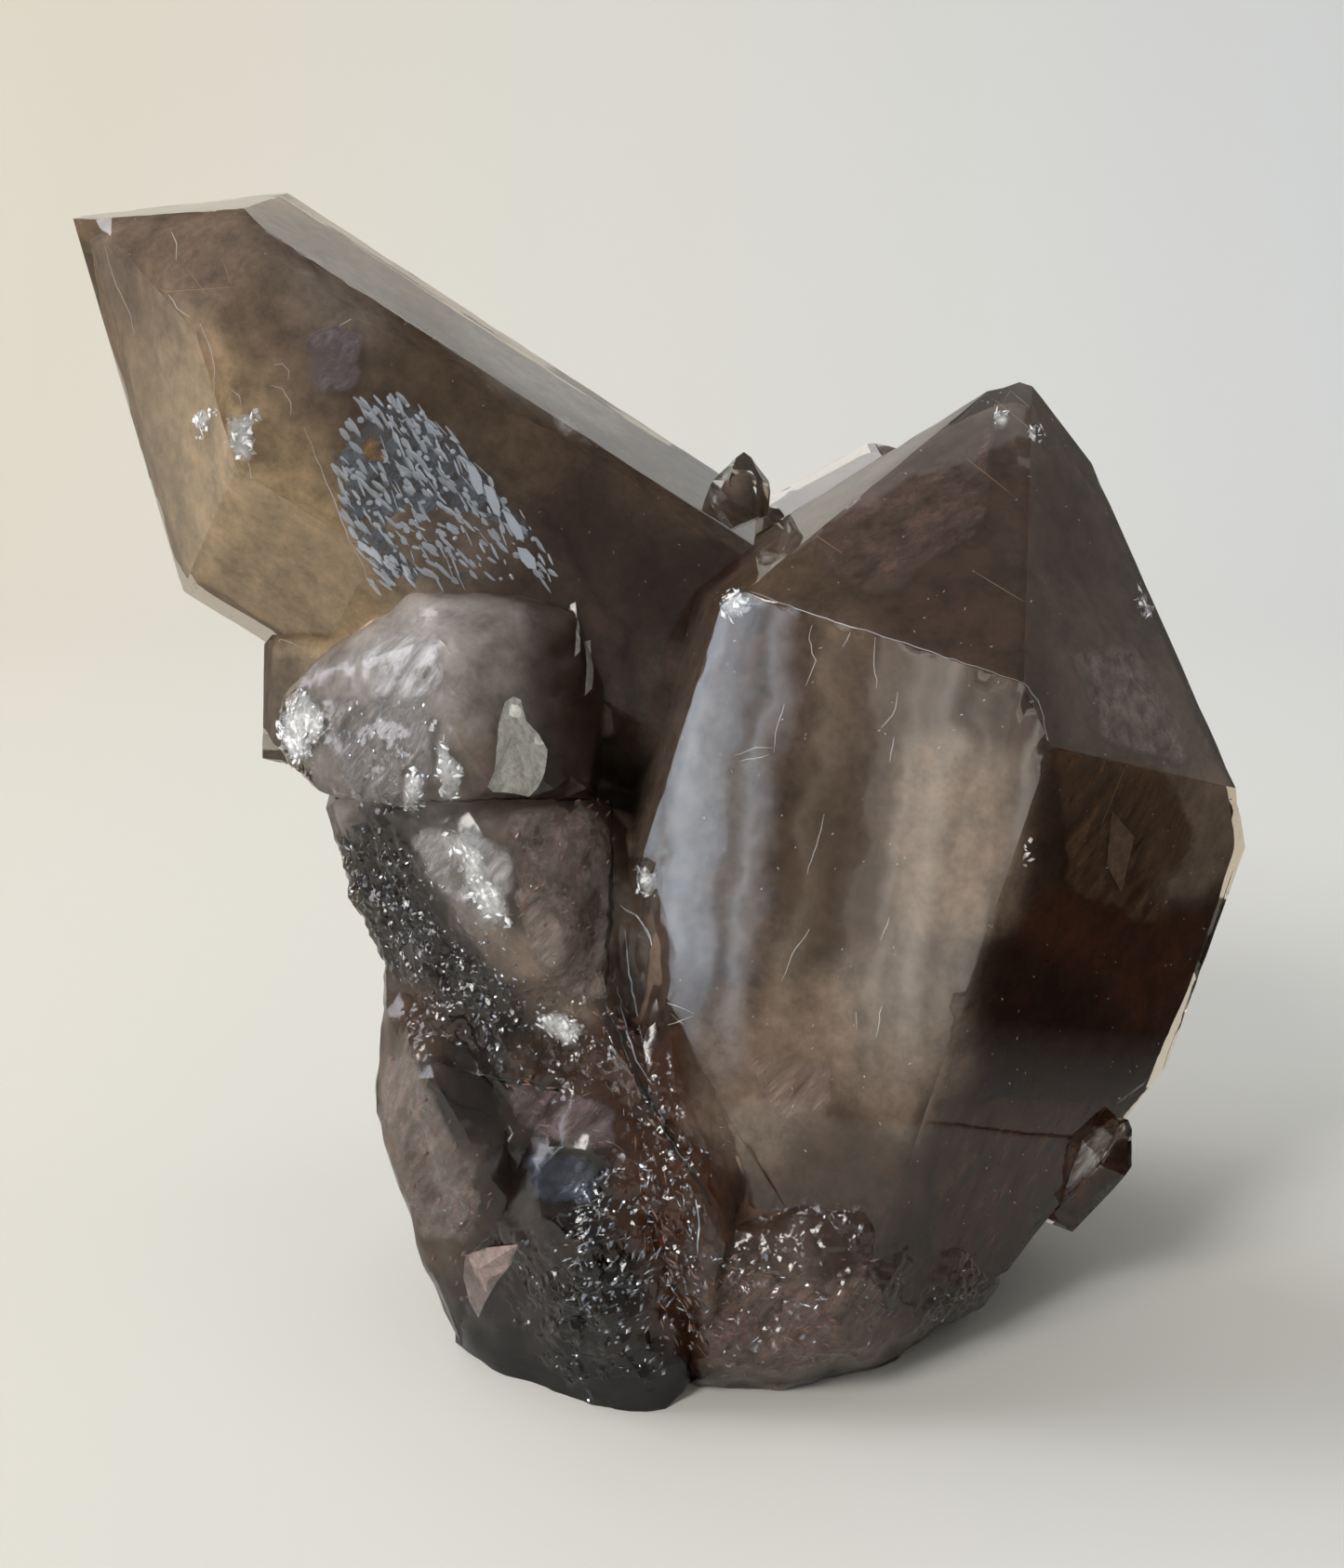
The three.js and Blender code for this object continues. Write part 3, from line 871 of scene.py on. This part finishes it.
def add_sheet(work, outline, sink, colour):
    """Adds a thin closed sheet that follows the skin within an outline, sunk below it in mm.

    Its tint's alpha fades towards its rim."""
    cells, left, top = cells_within(outline)
    tint = work.verts.layers.float_color.get("tint") or work.verts.layers.float_color.new("tint")
    made = {}

    def corner(i, j, depth):
        if (i, j, depth) not in made:
            stray = noise.cell_vector(Vector((i, j, left)))
            u = left + (i + CELL_STRAY * (stray.x - 0.5)) * SHEET_STEP
            v = top + (j + CELL_STRAY * (stray.y - 0.5)) * SHEET_STEP
            near = sum((i + a, j + b) in cells for a in (-2, -1, 0, 1) for b in (-2, -1, 0, 1))
            vert = work.verts.new(sight(u, v, depth))
            vert[tint] = linear(colour)[:3] + [max(0.0, min(1.0, (near - RIM_CELLS) / RIM_FADE))]
            made[(i, j, depth)] = vert
        return made[(i, j, depth)]

    below = sink + SHEET_THICK
    for i, j in cells:
        ring = [(i, j), (i, j + 1), (i + 1, j + 1), (i + 1, j)]
        work.faces.new([corner(*place, sink) for place in ring])
        work.faces.new([corner(*place, below) for place in reversed(ring)])
        for k, beyond in enumerate(((i - 1, j), (i, j + 1), (i + 1, j), (i, j - 1))):
            if beyond not in cells:
                a, b = ring[k], ring[(k + 1) % 4]
                work.faces.new([corner(*b, sink), corner(*a, sink), corner(*a, below), corner(*b, below)])


def sheets(table):
    """All the sheets of a table, each an outline, its depth in mm and a colour, in one mesh."""
    work = bmesh.new()
    for outline, sink, colour in table:
        add_sheet(work, outline, sink, colour)
    return work


def white_sheets(outlines, sink):
    """White sheets, all at one depth in mm, in one mesh."""
    return sheets([(outline, sink, "#ffffff") for outline in outlines])


# Each veil's outline in picture points, its depth in mm and its colour.
VEILS_AND_PAINTED_LIGHT = [
    # Painted highlight: the soft bright band on the left mass's top, where it mirrors the window.
    ([(392, 700), (420, 672), (470, 676), (476, 740), (440, 756), (396, 750)], 0.4, "#f0eef0"),
    ([(346, 756), (400, 748), (460, 760), (468, 830), (440, 870), (380, 866), (350, 810)], 0.4, "#b8b2b0"),
    ([(439, 900), (470, 887), (500, 893), (540, 905), (556, 930), (545, 975), (552, 1004), (505, 985),
      (455, 940)], 0.3, "#dcd8d8"),
    ([(538, 868), (640, 862), (664, 900), (660, 1080), (600, 1070), (560, 1010)], 0.5, "#c0aea4"),
    ([(1000, 1180), (1200, 1180), (1230, 1250), (1150, 1350), (1000, 1390)], 0.6, "#6a4430"),
    ([(410, 1130), (440, 1126), (470, 1180), (520, 1290), (500, 1340), (444, 1330), (408, 1200)], 0.5,
      "#a8958c"),
    # Painted reflection: the window's cool blue-grey on a smooth hollow of the root, above the ledges.
    ([(560, 1236), (620, 1240), (650, 1270), (640, 1300), (570, 1290)], 0.3, "#5c6478"),
    ([(540, 1170), (600, 1165), (660, 1190), (670, 1240), (630, 1232), (560, 1216)], 0.3, "#a08c90"),
    ([(520, 1300), (600, 1290), (640, 1330), (600, 1440), (520, 1420)], 0.3, "#3c2c2a"),
    ([(745, 1330), (850, 1380), (940, 1350), (960, 1420), (860, 1490), (760, 1480)], 0.4, "#94786c"),
    ([(870, 560), (980, 500), (1080, 440), (1060, 560), (960, 640), (880, 620)], 0.8, "#80685c"),
    ([(1130, 800), (1250, 820), (1290, 900), (1240, 1000), (1150, 960)], 0.8, "#8a6a50"),
    ([(320, 360), (360, 345), (392, 360), (388, 420), (340, 424)], 1.0, "#a09098"),
    ([(780, 1140), (840, 1128), (900, 1150), (890, 1200), (800, 1200)], 0.8, "#cdb4a6"),
    ([(1150, 700), (1220, 690), (1290, 800), (1280, 826), (1190, 800)], 0.8, "#b4a49c"),
    # Painted reflection: the window's cool blue-grey over the healed face.
    ([(392, 430), (442, 431), (487, 471), (528, 514), (568, 567), (597, 613), (562, 621), (461, 626),
      (404, 634), (364, 541), (358, 498), (378, 458)], 0.9, "#8a929e"),
    ([(388, 466), (418, 470), (416, 498), (390, 496)], 0.4, "#d0a468"),
    ([(579, 439), (600, 444), (651, 478), (640, 486), (600, 462)], 0.3, "#c8c4bc"),
]
veil_dust_and_painted_light = cloudy_film("veil_dust_and_painted_light", least=0.05, most=0.9, cell=2.5 * MM, streak=5.0)
add_piece("veils_and_painted_light", sheets(VEILS_AND_PAINTED_LIGHT), veil_dust_and_painted_light)

# Crushed places: where the skin was struck or torn, the quartz is crushed to white, ragged beds that lie just
# below it, and small flakes of it stand on them at every angle.
CRUSHED_SINK = 0.05
FLAT_FLAKE = {"Sides": 5, "Tilt": (0.6, 0.6, math.pi), "Lies Flat": True, "Heading": (0, 0, 0)}


def flake_scatter():
    """The node group that scatters flat flakes over a surface, each turned and sized at random."""
    tree = bpy.data.node_groups.new("flake_scatter", "GeometryNodeTree")
    sockets = [
        ("Surface", "Geometry"), ("Density", "Float"), ("Seed", "Int"), ("Sides", "Int"),
        ("Smallest", "Vector"), ("Largest", "Vector"), ("Tilt", "Vector"), ("Lies Flat", "Bool"),
        ("Heading", "Rotation"), ("Material", "Material"),
    ]
    for name, kind in sockets:
        tree.interface.new_socket(name, in_out="INPUT", socket_type="NodeSocket" + kind)
    tree.interface.new_socket("Flakes", in_out="OUTPUT", socket_type="NodeSocketGeometry")
    given = add_node(tree, "NodeGroupInput").outputs
    spots = add_node(
        tree, "GeometryNodeDistributePointsOnFaces", {},
        {"Mesh": given["Surface"], "Density": given["Density"], "Seed": given["Seed"]},
    )
    flake = add_node(
        tree, "GeometryNodeMeshCone", {"Radius Top": 0.5, "Radius Bottom": 1.0, "Depth": 1.0},
        {"Vertices": given["Sides"]},
    )
    other_way = add_node(
        tree, "ShaderNodeVectorMath", {"operation": "SCALE", "Scale": -1.0}, {0: given["Tilt"]}
    )
    turn = add_node(
        tree, "FunctionNodeRandomValue", {"data_type": "FLOAT_VECTOR"},
        {"Min": other_way, "Max": given["Tilt"], "Seed": given["Seed"]},
    )
    size = add_node(
        tree, "FunctionNodeRandomValue", {"data_type": "FLOAT_VECTOR"},
        {"Min": given["Smallest"], "Max": given["Largest"], "Seed": given["Seed"]},
    )
    basis = add_node(
        tree, "GeometryNodeSwitch", {"input_type": "ROTATION"},
        {"Switch": given["Lies Flat"], "False": given["Heading"], "True": spots.outputs["Rotation"]},
    )
    turned = add_node(
        tree, "FunctionNodeRotateRotation", {"rotation_space": "LOCAL"},
        {"Rotation": basis, "Rotate By": turn},
    )
    placed = add_node(
        tree, "GeometryNodeInstanceOnPoints", {},
        {"Points": spots, "Instance": flake, "Rotation": turned, "Scale": size},
    )
    real = add_node(tree, "GeometryNodeRealizeInstances", {}, {"Geometry": placed})
    coloured = add_node(
        tree, "GeometryNodeSetMaterial", {}, {"Geometry": real, "Material": given["Material"]}
    )
    add_node(tree, "NodeGroupOutput", {}, {"Flakes": coloured})
    return tree


scatter_tree = flake_scatter()


def scatter(name, surface, material, settings):
    """Scatters flakes over a surface's mesh, which is then thrown away, and keeps them as a piece."""
    base = bpy.data.meshes.new(name + "_base")
    surface.to_mesh(base)
    surface.free()
    holder = new_object(name + "_base", base)
    modifier = holder.modifiers.new("flakes", "NODES")
    modifier.node_group = scatter_tree
    values = {**FLAT_FLAKE, **settings, "Material": material}
    for item in scatter_tree.interface.items_tree:
        if item.in_out == "INPUT" and item.name in values:
            modifier[item.identifier] = values[item.name]
    depsgraph = bpy.context.evaluated_depsgraph_get()
    mesh = bpy.data.meshes.new_from_object(holder.evaluated_get(depsgraph), depsgraph=depsgraph)
    bpy.data.objects.remove(holder)
    mesh.name = name
    keep_piece(name, mesh, smooth=False)


def plain_mineral(name, settings):
    """A mineral with one colour and finish, named for what it is."""
    made, tree = new_material(name)
    shader = add_node(tree, "ShaderNodeBsdfPrincipled", settings)
    add_node(tree, "ShaderNodeOutputMaterial", {}, {"Surface": shader})
    return made


# Crushed quartz: a dense white powder that looks bright from every side.
crushed_quartz = plain_mineral("crushed_quartz", {"Base Color": linear("#f2f4f8"), "Roughness": 0.3})
CRUSHED = [
    [(243, 452), (262, 440), (278, 446), (272, 460), (280, 482), (270, 499), (256, 490), (244, 476)],
    [(210, 440), (226, 437), (222, 455), (214, 470), (206, 452)],
    [(303, 760), (322, 740), (340, 752), (346, 780), (332, 800), (318, 826), (303, 806)],
    [(463, 768), (476, 780), (484, 800), (496, 822), (494, 857), (470, 860), (474, 838), (464, 815),
     (470, 792)],
    [(433, 830), (450, 827), (456, 850), (450, 876), (434, 870)],
    [(478, 890), (500, 893), (520, 915), (532, 950), (552, 1000), (520, 985), (500, 950), (488, 920)],
    [(572, 1090), (600, 1084), (627, 1100), (622, 1124), (590, 1120)],
    [(775, 640), (792, 635), (809, 648), (800, 662), (778, 658)],
    [(686, 932), (704, 929), (708, 950), (698, 969), (684, 960)],
    [(1225, 636), (1236, 632), (1240, 656), (1230, 662)],
    [(1068, 446), (1082, 446), (1082, 462), (1070, 460)],
    [(1110, 460), (1124, 462), (1122, 476), (1111, 474)],
    [(1098, 892), (1106, 890), (1104, 932), (1098, 930)],
]
crushed_bed = cloudy_film("crushed_bed", least=0.55, most=1.0, cell=3 * MM)
add_piece("crushed_beds", white_sheets(CRUSHED, CRUSHED_SINK), crushed_bed, smooth=False)
CRUSHED_FLAKES = {
    "Density": 5.5e5, "Seed": 3, "Smallest": (0.08 * MM, 0.06 * MM, 0.04 * MM),
    "Largest": (1.0 * MM, 0.6 * MM, 0.2 * MM), "Sides": 4, "Tilt": (0.5, 0.5, math.pi),
}
scatter("crushed_flakes", white_sheets(CRUSHED, CRUSHED_SINK), crushed_quartz, CRUSHED_FLAKES)

# Cleaved flakes: a few larger chips that split off flat, and still stand out of the root as pale plates with
# bright slivers beside them. Each is a closed plate that is rooted in the break.
PLATE_SINK = 0.1
PEAK_PLACE = 0.35
PLATE_ROOT = 1.2


def plates(table):
    """Closed faceted plates in one mesh, each an outline of picture points, a rise in mm and a colour."""
    work = bmesh.new()
    tint = work.verts.layers.float_color.new("tint")
    for outline, rise, colour in table:
        rim = [sight(u, v, PLATE_SINK) for u, v in outline]
        middle = sum(rim, Vector()) / len(rim)
        facing = (CAMERA_PLACE - middle).normalized()
        peak = work.verts.new(middle + (rim[0] - middle) * PEAK_PLACE + facing * rise * MM)
        root = work.verts.new(middle - facing * PLATE_ROOT * MM)
        ring = [work.verts.new(place) for place in rim]
        for a, b in zip(ring, ring[1:] + ring[:1]):
            work.faces.new([a, b, peak])
            work.faces.new([b, a, root])
        for vert in ring + [peak, root]:
            vert[tint] = linear(colour)
    bmesh.ops.recalc_face_normals(work, faces=work.faces)
    return work


# Each flake's outline in picture points, how far it stands out in mm and its colour.
FLAKES = [
    ([(543, 755), (552, 749), (560, 752), (566, 775), (580, 790), (589, 806), (586, 830), (578, 848),
      (568, 857), (548, 853), (530, 852), (524, 846), (532, 828), (534, 806), (536, 780)], 0.5, "#fdfdf6"),
    ([(500, 1350), (522, 1342), (557, 1338), (549, 1360), (534, 1378), (524, 1396), (514, 1417), (504, 1400),
      (498, 1374)], 0.3, "#94807a"),
    ([(613, 650), (619, 647), (624, 700), (618, 706)], 0.2, "#e8e6e4"),
    ([(628, 690), (635, 688), (637, 740), (629, 748)], 0.2, "#d8d4d0"),
    ([(1196, 872), (1220, 900), (1206, 960), (1190, 930)], -0.2, "#8a6a50"),
]
cleaved_quartz = cloudy_film("cleaved_quartz", least=0.8, most=1.0, cell=3 * MM, gloss=0.7)
add_piece("cleaved_flakes", plates(FLAKES), cleaved_quartz, smooth=False)

# Sparkling places: the roughest parts of the break, where thousands of little cleaved flats catch the light.
# Where the break runs in strands, its flats run with it, at an angle below the horizontal.
SPARKLING_SINK = 0.1
ROUGHEST = 0.35
# A fresh cleaved flat that faces the light is a small hard mirror.
cleaved_glint = plain_mineral(
    "cleaved_glint", {"Base Color": linear("#c4ccd8"), "Metallic": 0.85, "Roughness": 0.2}
)
# A cleaved flat that is turned away from the light, as a darker copy of the glinting flats: warm brown with a
# soft shine, partly the quartz's own brown and partly painted shade.
brown_flats_in_painted_shade = plain_mineral("brown_flats_in_painted_shade", {"Base Color": linear("#94746a"), "Roughness": 0.2})
SPARKLING = [
    [(396, 915), (450, 905), (484, 960), (470, 1004), (410, 990)],
    [(420, 1000), (560, 995), (590, 1050), (520, 1078), (430, 1050)],
    [(480, 1050), (600, 1070), (640, 1150), (560, 1160), (500, 1120)],
    [(350, 760), (455, 750), (462, 870), (380, 870)],
]
SPARKLES = {
    "Density": 2.4e5, "Seed": 5, "Smallest": (0.05 * MM, 0.05 * MM, 0.02 * MM),
    "Largest": (0.6 * MM, 0.4 * MM, 0.08 * MM), "Sides": 4, "Tilt": (0.9, 0.9, math.pi),
}
# Each strand's name, outline, fall to the right in degrees, flakes to the square metre and mineral.
STRANDS = [
    ("hollow", [(600, 1300), (700, 1290), (728, 1400), (716, 1470), (640, 1440), (612, 1360)], -38, 2.4e5,
     cleaved_glint),
    ("ledge", [(540, 1150), (660, 1180), (672, 1240), (560, 1220)], 20, 1.4e5, brown_flats_in_painted_shade),
    ("ridge", [(640, 1080), (684, 1080), (745, 1300), (764, 1450), (720, 1456), (690, 1300)], 62, 1.4e5,
     brown_flats_in_painted_shade),
    ("glossy_ridge", [(650, 1100), (684, 1100), (745, 1300), (764, 1450), (730, 1456)], 62, 0.9e5,
     cleaved_glint),
    ("foot", [(742, 1320), (850, 1376), (940, 1340), (960, 1400), (860, 1480), (760, 1485)], 6, 0.8e5,
     brown_flats_in_painted_shade),
    ("glossy_foot", [(742, 1340), (850, 1380), (930, 1350), (900, 1440), (760, 1480)], 6, 0.4e5,
     cleaved_glint),
    ("bulge", [(410, 1130), (460, 1150), (540, 1280), (500, 1400), (450, 1330)], -52, 0.6e5, brown_flats_in_painted_shade),
    ("right_of_root", [(540, 868), (655, 862), (655, 1080), (600, 1070), (560, 1000)], -50, 0.8e5,
     brown_flats_in_painted_shade),
]


def roughest_skin():
    """The parts of the skin, on every side, where the break is roughest."""
    work = bmesh.new()
    work.from_mesh(body.data)
    hackled = work.verts.layers.float["hackled"]
    smooth = [face for face in work.faces if min(vert[hackled] for vert in face.verts) < ROUGHEST]
    bmesh.ops.delete(work, geom=smooth, context="FACES")
    return work


def strand_heading(fall):
    """The turn of a flake that faces the front, its length falling to the right by an angle in degrees."""
    return (math.pi / 2, math.radians(fall), 0.0)


scatter("root_sparkles", white_sheets(SPARKLING, SPARKLING_SINK), cleaved_glint, SPARKLES)
scatter("chip_sparkles", roughest_skin(), cleaved_glint, {**SPARKLES, "Density": 0.7e5, "Seed": 6})
for number, (kept_as, outline, fall, density, mineral) in enumerate(STRANDS):
    strand = {
        "Density": density, "Seed": 20 + number, "Sides": 4, "Tilt": (1.0, 0.9, 0.5), "Lies Flat": False,
        "Smallest": (0.1 * MM, 0.06 * MM, 0.03 * MM), "Largest": (1.3 * MM, 0.45 * MM, 0.16 * MM),
        "Heading": strand_heading(fall),
    }
    scatter(kept_as + "_strands", white_sheets([outline], SPARKLING_SINK), mineral, strand)

# The healed face inside the leaning crystal: drop-shaped silver cells in rows under its front face, and the
# larger smooth pools along its right edge.
HEALED_SINK = 0.6
# The film of fluid in a healed crack: its pale, cool colour is a painted reflection of the window that the
# film mirrors, and it shines like silver at a slant.
silver_film_painted_reflection = plain_mineral(
    "silver_film_painted_reflection", {"Base Color": linear("#dfe8f5"), "Metallic": 0.2, "Roughness": 0.2}
)
HEALED_FACE = [
    [(392, 430), (426, 428), (442, 431), (461, 450), (487, 471), (504, 487), (528, 514), (546, 538),
     (568, 567), (592, 597), (597, 613), (584, 630), (562, 621), (528, 624), (461, 626), (404, 634),
     (380, 578), (364, 541), (358, 498), (378, 458)],
]
POOLS = [
    [(501, 498), (510, 502), (517, 512), (520, 530), (514, 532), (507, 520)],
    [(520, 520), (529, 524), (537, 540), (538, 556), (531, 552), (524, 538)],
    [(540, 548), (550, 553), (560, 566), (564, 580), (556, 580), (547, 566)],
    [(556, 588), (566, 590), (575, 600), (577, 612), (568, 611), (560, 602)],
]
CELLS = {
    "Density": 3.4e5, "Seed": 8, "Smallest": (0.2 * MM, 0.08 * MM, 0.04 * MM),
    "Largest": (1.9 * MM, 0.55 * MM, 0.08 * MM), "Tilt": (0.25, 0.25, 0.3), "Lies Flat": False,
    "Heading": strand_heading(56), "Sides": 7,
}
scatter("healed_face_cells", white_sheets(HEALED_FACE, HEALED_SINK), silver_film_painted_reflection, CELLS)
pools = plates([(outline, 0.0, "#ffffff") for outline in POOLS])
add_piece("silver_pools", pools, silver_film_painted_reflection, smooth=False)

# White threads: fine wandering cracks on the wide mirror-like face, nail-shaped cracks and worn edges, all
# filled with crushed quartz. Bright curves, which are painted highlights, and dark seams, which are painted
# shade, run in the same way along the hollows of the break.
THREAD_STEP = 9.0
THREAD_SIDES = 4
THREAD_WANDER = 2.6
THREAD_BEND = 6
THREAD_ENDS = 0.3


def add_thread(work, path, width, sink, wander):
    """Adds a closed thread, tapered to both ends, along picture points and sunk below the skin in mm."""
    places = [sight(*path[0], sink)]
    for start, end in zip(path, path[1:]):
        count = max(1, round(math.dist(start, end) / THREAD_STEP))
        for k in range(1, count + 1):
            u, v = (a + (b - a) * k / count for a, b in zip(start, end))
            stray = noise.noise_vector(Vector((u, v, width * 50)) / THREAD_BEND) * wander
            places.append(sight(u + stray.x, v + stray.y, sink))
    rings = []
    for k, place in enumerate(places):
        ahead = places[min(k + 1, len(places) - 1)] - places[max(k - 1, 0)]
        side = ahead.cross(place - CAMERA_PLACE).normalized()
        up = side.cross(ahead).normalized()
        taper = THREAD_ENDS + 0.7 * math.sin(math.pi * (k + 0.5) / len(places))
        thick = width * MM * taper / 2
        turns = [2 * math.pi * n / THREAD_SIDES for n in range(THREAD_SIDES)]
        rings.append([work.verts.new(place + (side * math.cos(t) + up * math.sin(t)) * thick) for t in turns])
    for near, far in zip(rings, rings[1:]):
        for n in range(THREAD_SIDES):
            m = (n + 1) % THREAD_SIDES
            work.faces.new([near[n], near[m], far[m], far[n]])
    work.faces.new(rings[0])
    work.faces.new(rings[-1])


def threads(paths, width, sink, wander=0.0):
    """All the threads of a table of paths, in one mesh."""
    work = bmesh.new()
    for path in paths:
        add_thread(work, path, width, sink, wander)
    bmesh.ops.recalc_face_normals(work, faces=work.faces)
    return work


# Painted shade: near-black paint for the dark seams in the gaps and under the ledges of the break.
painted_shade_black = plain_mineral("painted_shade_black", {"Base Color": linear("#1c120d"), "Roughness": 0.25})
SKIN_THREADS = [
    [(873, 672), (869, 687), (877, 710), (867, 736)], [(914, 680), (905, 697)],
    [(941, 685), (939, 714), (942, 740)], [(965, 744), (963, 762), (948, 783)], [(961, 793), (957, 819)],
    [(843, 757), (835, 781), (831, 808)], [(886, 875), (880, 900), (868, 940)],
    [(870, 999), (852, 1026), (841, 1053)], [(956, 986), (947, 1011)], [(948, 1082), (943, 1114)],
    [(920, 1088), (922, 1109)], [(790, 812), (812, 804), (831, 803)], [(795, 819), (826, 812)],
    [(717, 1078), (746, 1090)], [(718, 1102), (744, 1094)], [(722, 1090), (738, 1103)],
    [(667, 973), (690, 990), (702, 1020), (704, 1045), (697, 1068)],
    [(807, 636), (880, 662), (1000, 700), (1100, 734)], [(1100, 734), (1116, 752), (1127, 796)],
    [(909, 548), (926, 535)], [(181, 317), (190, 330), (204, 341)],
    [(215, 348), (224, 370), (230, 392), (230, 424)], [(267, 497), (270, 515)],
    [(295, 392), (304, 390), (311, 398), (310, 408)], [(291, 414), (303, 418), (312, 432), (314, 447)],
    [(249, 419), (257, 426), (259, 437)], [(184, 249), (190, 262), (188, 278)],
    [(112, 265), (122, 300), (140, 340), (145, 360)], [(365, 350), (378, 342)],
    [(285, 248), (400, 320), (520, 397)], [(327, 460), (352, 520), (376, 580), (399, 629)],
]
white_threads = threads(SKIN_THREADS, width=0.15, sink=0.12, wander=THREAD_WANDER)
add_piece("white_threads", white_threads, crushed_quartz)
# Painted highlights: pale glossy curves along the curved edges of the break.
PAINTED_HIGHLIGHT_CURVES = [
    [(668, 975), (686, 985), (699, 1008), (704, 1035), (702, 1060)],
    [(672, 1000), (676, 1040), (684, 1090), (690, 1120)],
    [(664, 1060), (672, 1100), (684, 1140), (700, 1165)], [(748, 1290), (752, 1320), (750, 1350)],
]
# Painted shade: near-black seams in the gaps between the masses, under the ledges and along the creases of
# the break.
PAINTED_SHADE_SEAMS = [
    [(657, 862), (659, 930), (656, 1000), (652, 1060)], [(656, 1090), (690, 1170), (730, 1240), (766, 1296)],
    [(476, 1142), (520, 1157), (560, 1165), (600, 1172)], [(452, 1150), (480, 1185), (530, 1202)],
    [(456, 862), (505, 862), (560, 858), (640, 860)], [(392, 900), (420, 940), (430, 990)],
    [(590, 1312), (630, 1296), (664, 1280)],
]
painted_highlight_curves = threads(PAINTED_HIGHLIGHT_CURVES, width=0.28, sink=0.1, wander=THREAD_WANDER)
painted_shade_seams = threads(PAINTED_SHADE_SEAMS, width=0.8, sink=0.3, wander=THREAD_WANDER)
add_piece("painted_highlight_curves", painted_highlight_curves, silver_film_painted_reflection)
add_piece("painted_shade_seams", painted_shade_seams, painted_shade_black)

# Golden needles: straight hairs of rutile that the quartz grew around. They lie a little below the faces of
# both large crystals, most of them near the tips. Rutile is golden and gleams half like metal.
golden_rutile = plain_mineral(
    "golden_rutile", {"Base Color": linear("#c8a878"), "Metallic": 0.3, "Roughness": 0.3}
)
NEEDLES = [
    [(169, 313), (256, 307)], [(239, 281), (247, 304)], [(200, 287), (222, 318)], [(1069, 428), (1110, 461)],
    [(1080, 413), (1106, 435)], [(1040, 492), (1087, 529)], [(877, 574), (905, 593)],
    [(1046, 612), (1102, 646)], [(1211, 826), (1185, 890)], [(1180, 740), (1240, 800)],
    [(1150, 700), (1196, 742)], [(1205, 715), (1262, 775)],
]
add_piece("golden_needles", threads(NEEDLES, width=0.1, sink=0.6), golden_rutile)

# Flecks: bright specks of foreign dust that settled on the growing faces and were grown over. They lie
# scattered through the outer few millimetres of both large crystals.
FLECKS = {
    "Smallest": (0.05 * MM, 0.04 * MM, 0.02 * MM), "Largest": (0.36 * MM, 0.14 * MM, 0.08 * MM),
    "Tilt": (1.0, 1.0, math.pi),
}
leaning_layer = layer(LEANING, inset=0.5 * MM, waver=0.9 * MM)
tall_layer = layer(TALL, inset=0.4 * MM, waver=0.7 * MM)
scatter("leaning_flecks", leaning_layer, golden_rutile, {**FLECKS, "Density": 2.2e4, "Seed": 11})
scatter("tall_flecks", tall_layer, crushed_quartz, {**FLECKS, "Density": 1.8e4, "Seed": 12})

# How often light may turn on its way: often enough to pass through the crystals and the films in them, and
# no oftener, which keeps the picture quick to make.
bpy.context.scene.cycles.max_bounces = 8
bpy.context.scene.cycles.transmission_bounces = 8
bpy.context.scene.cycles.diffuse_bounces = 2
bpy.context.scene.cycles.transparent_max_bounces = 8
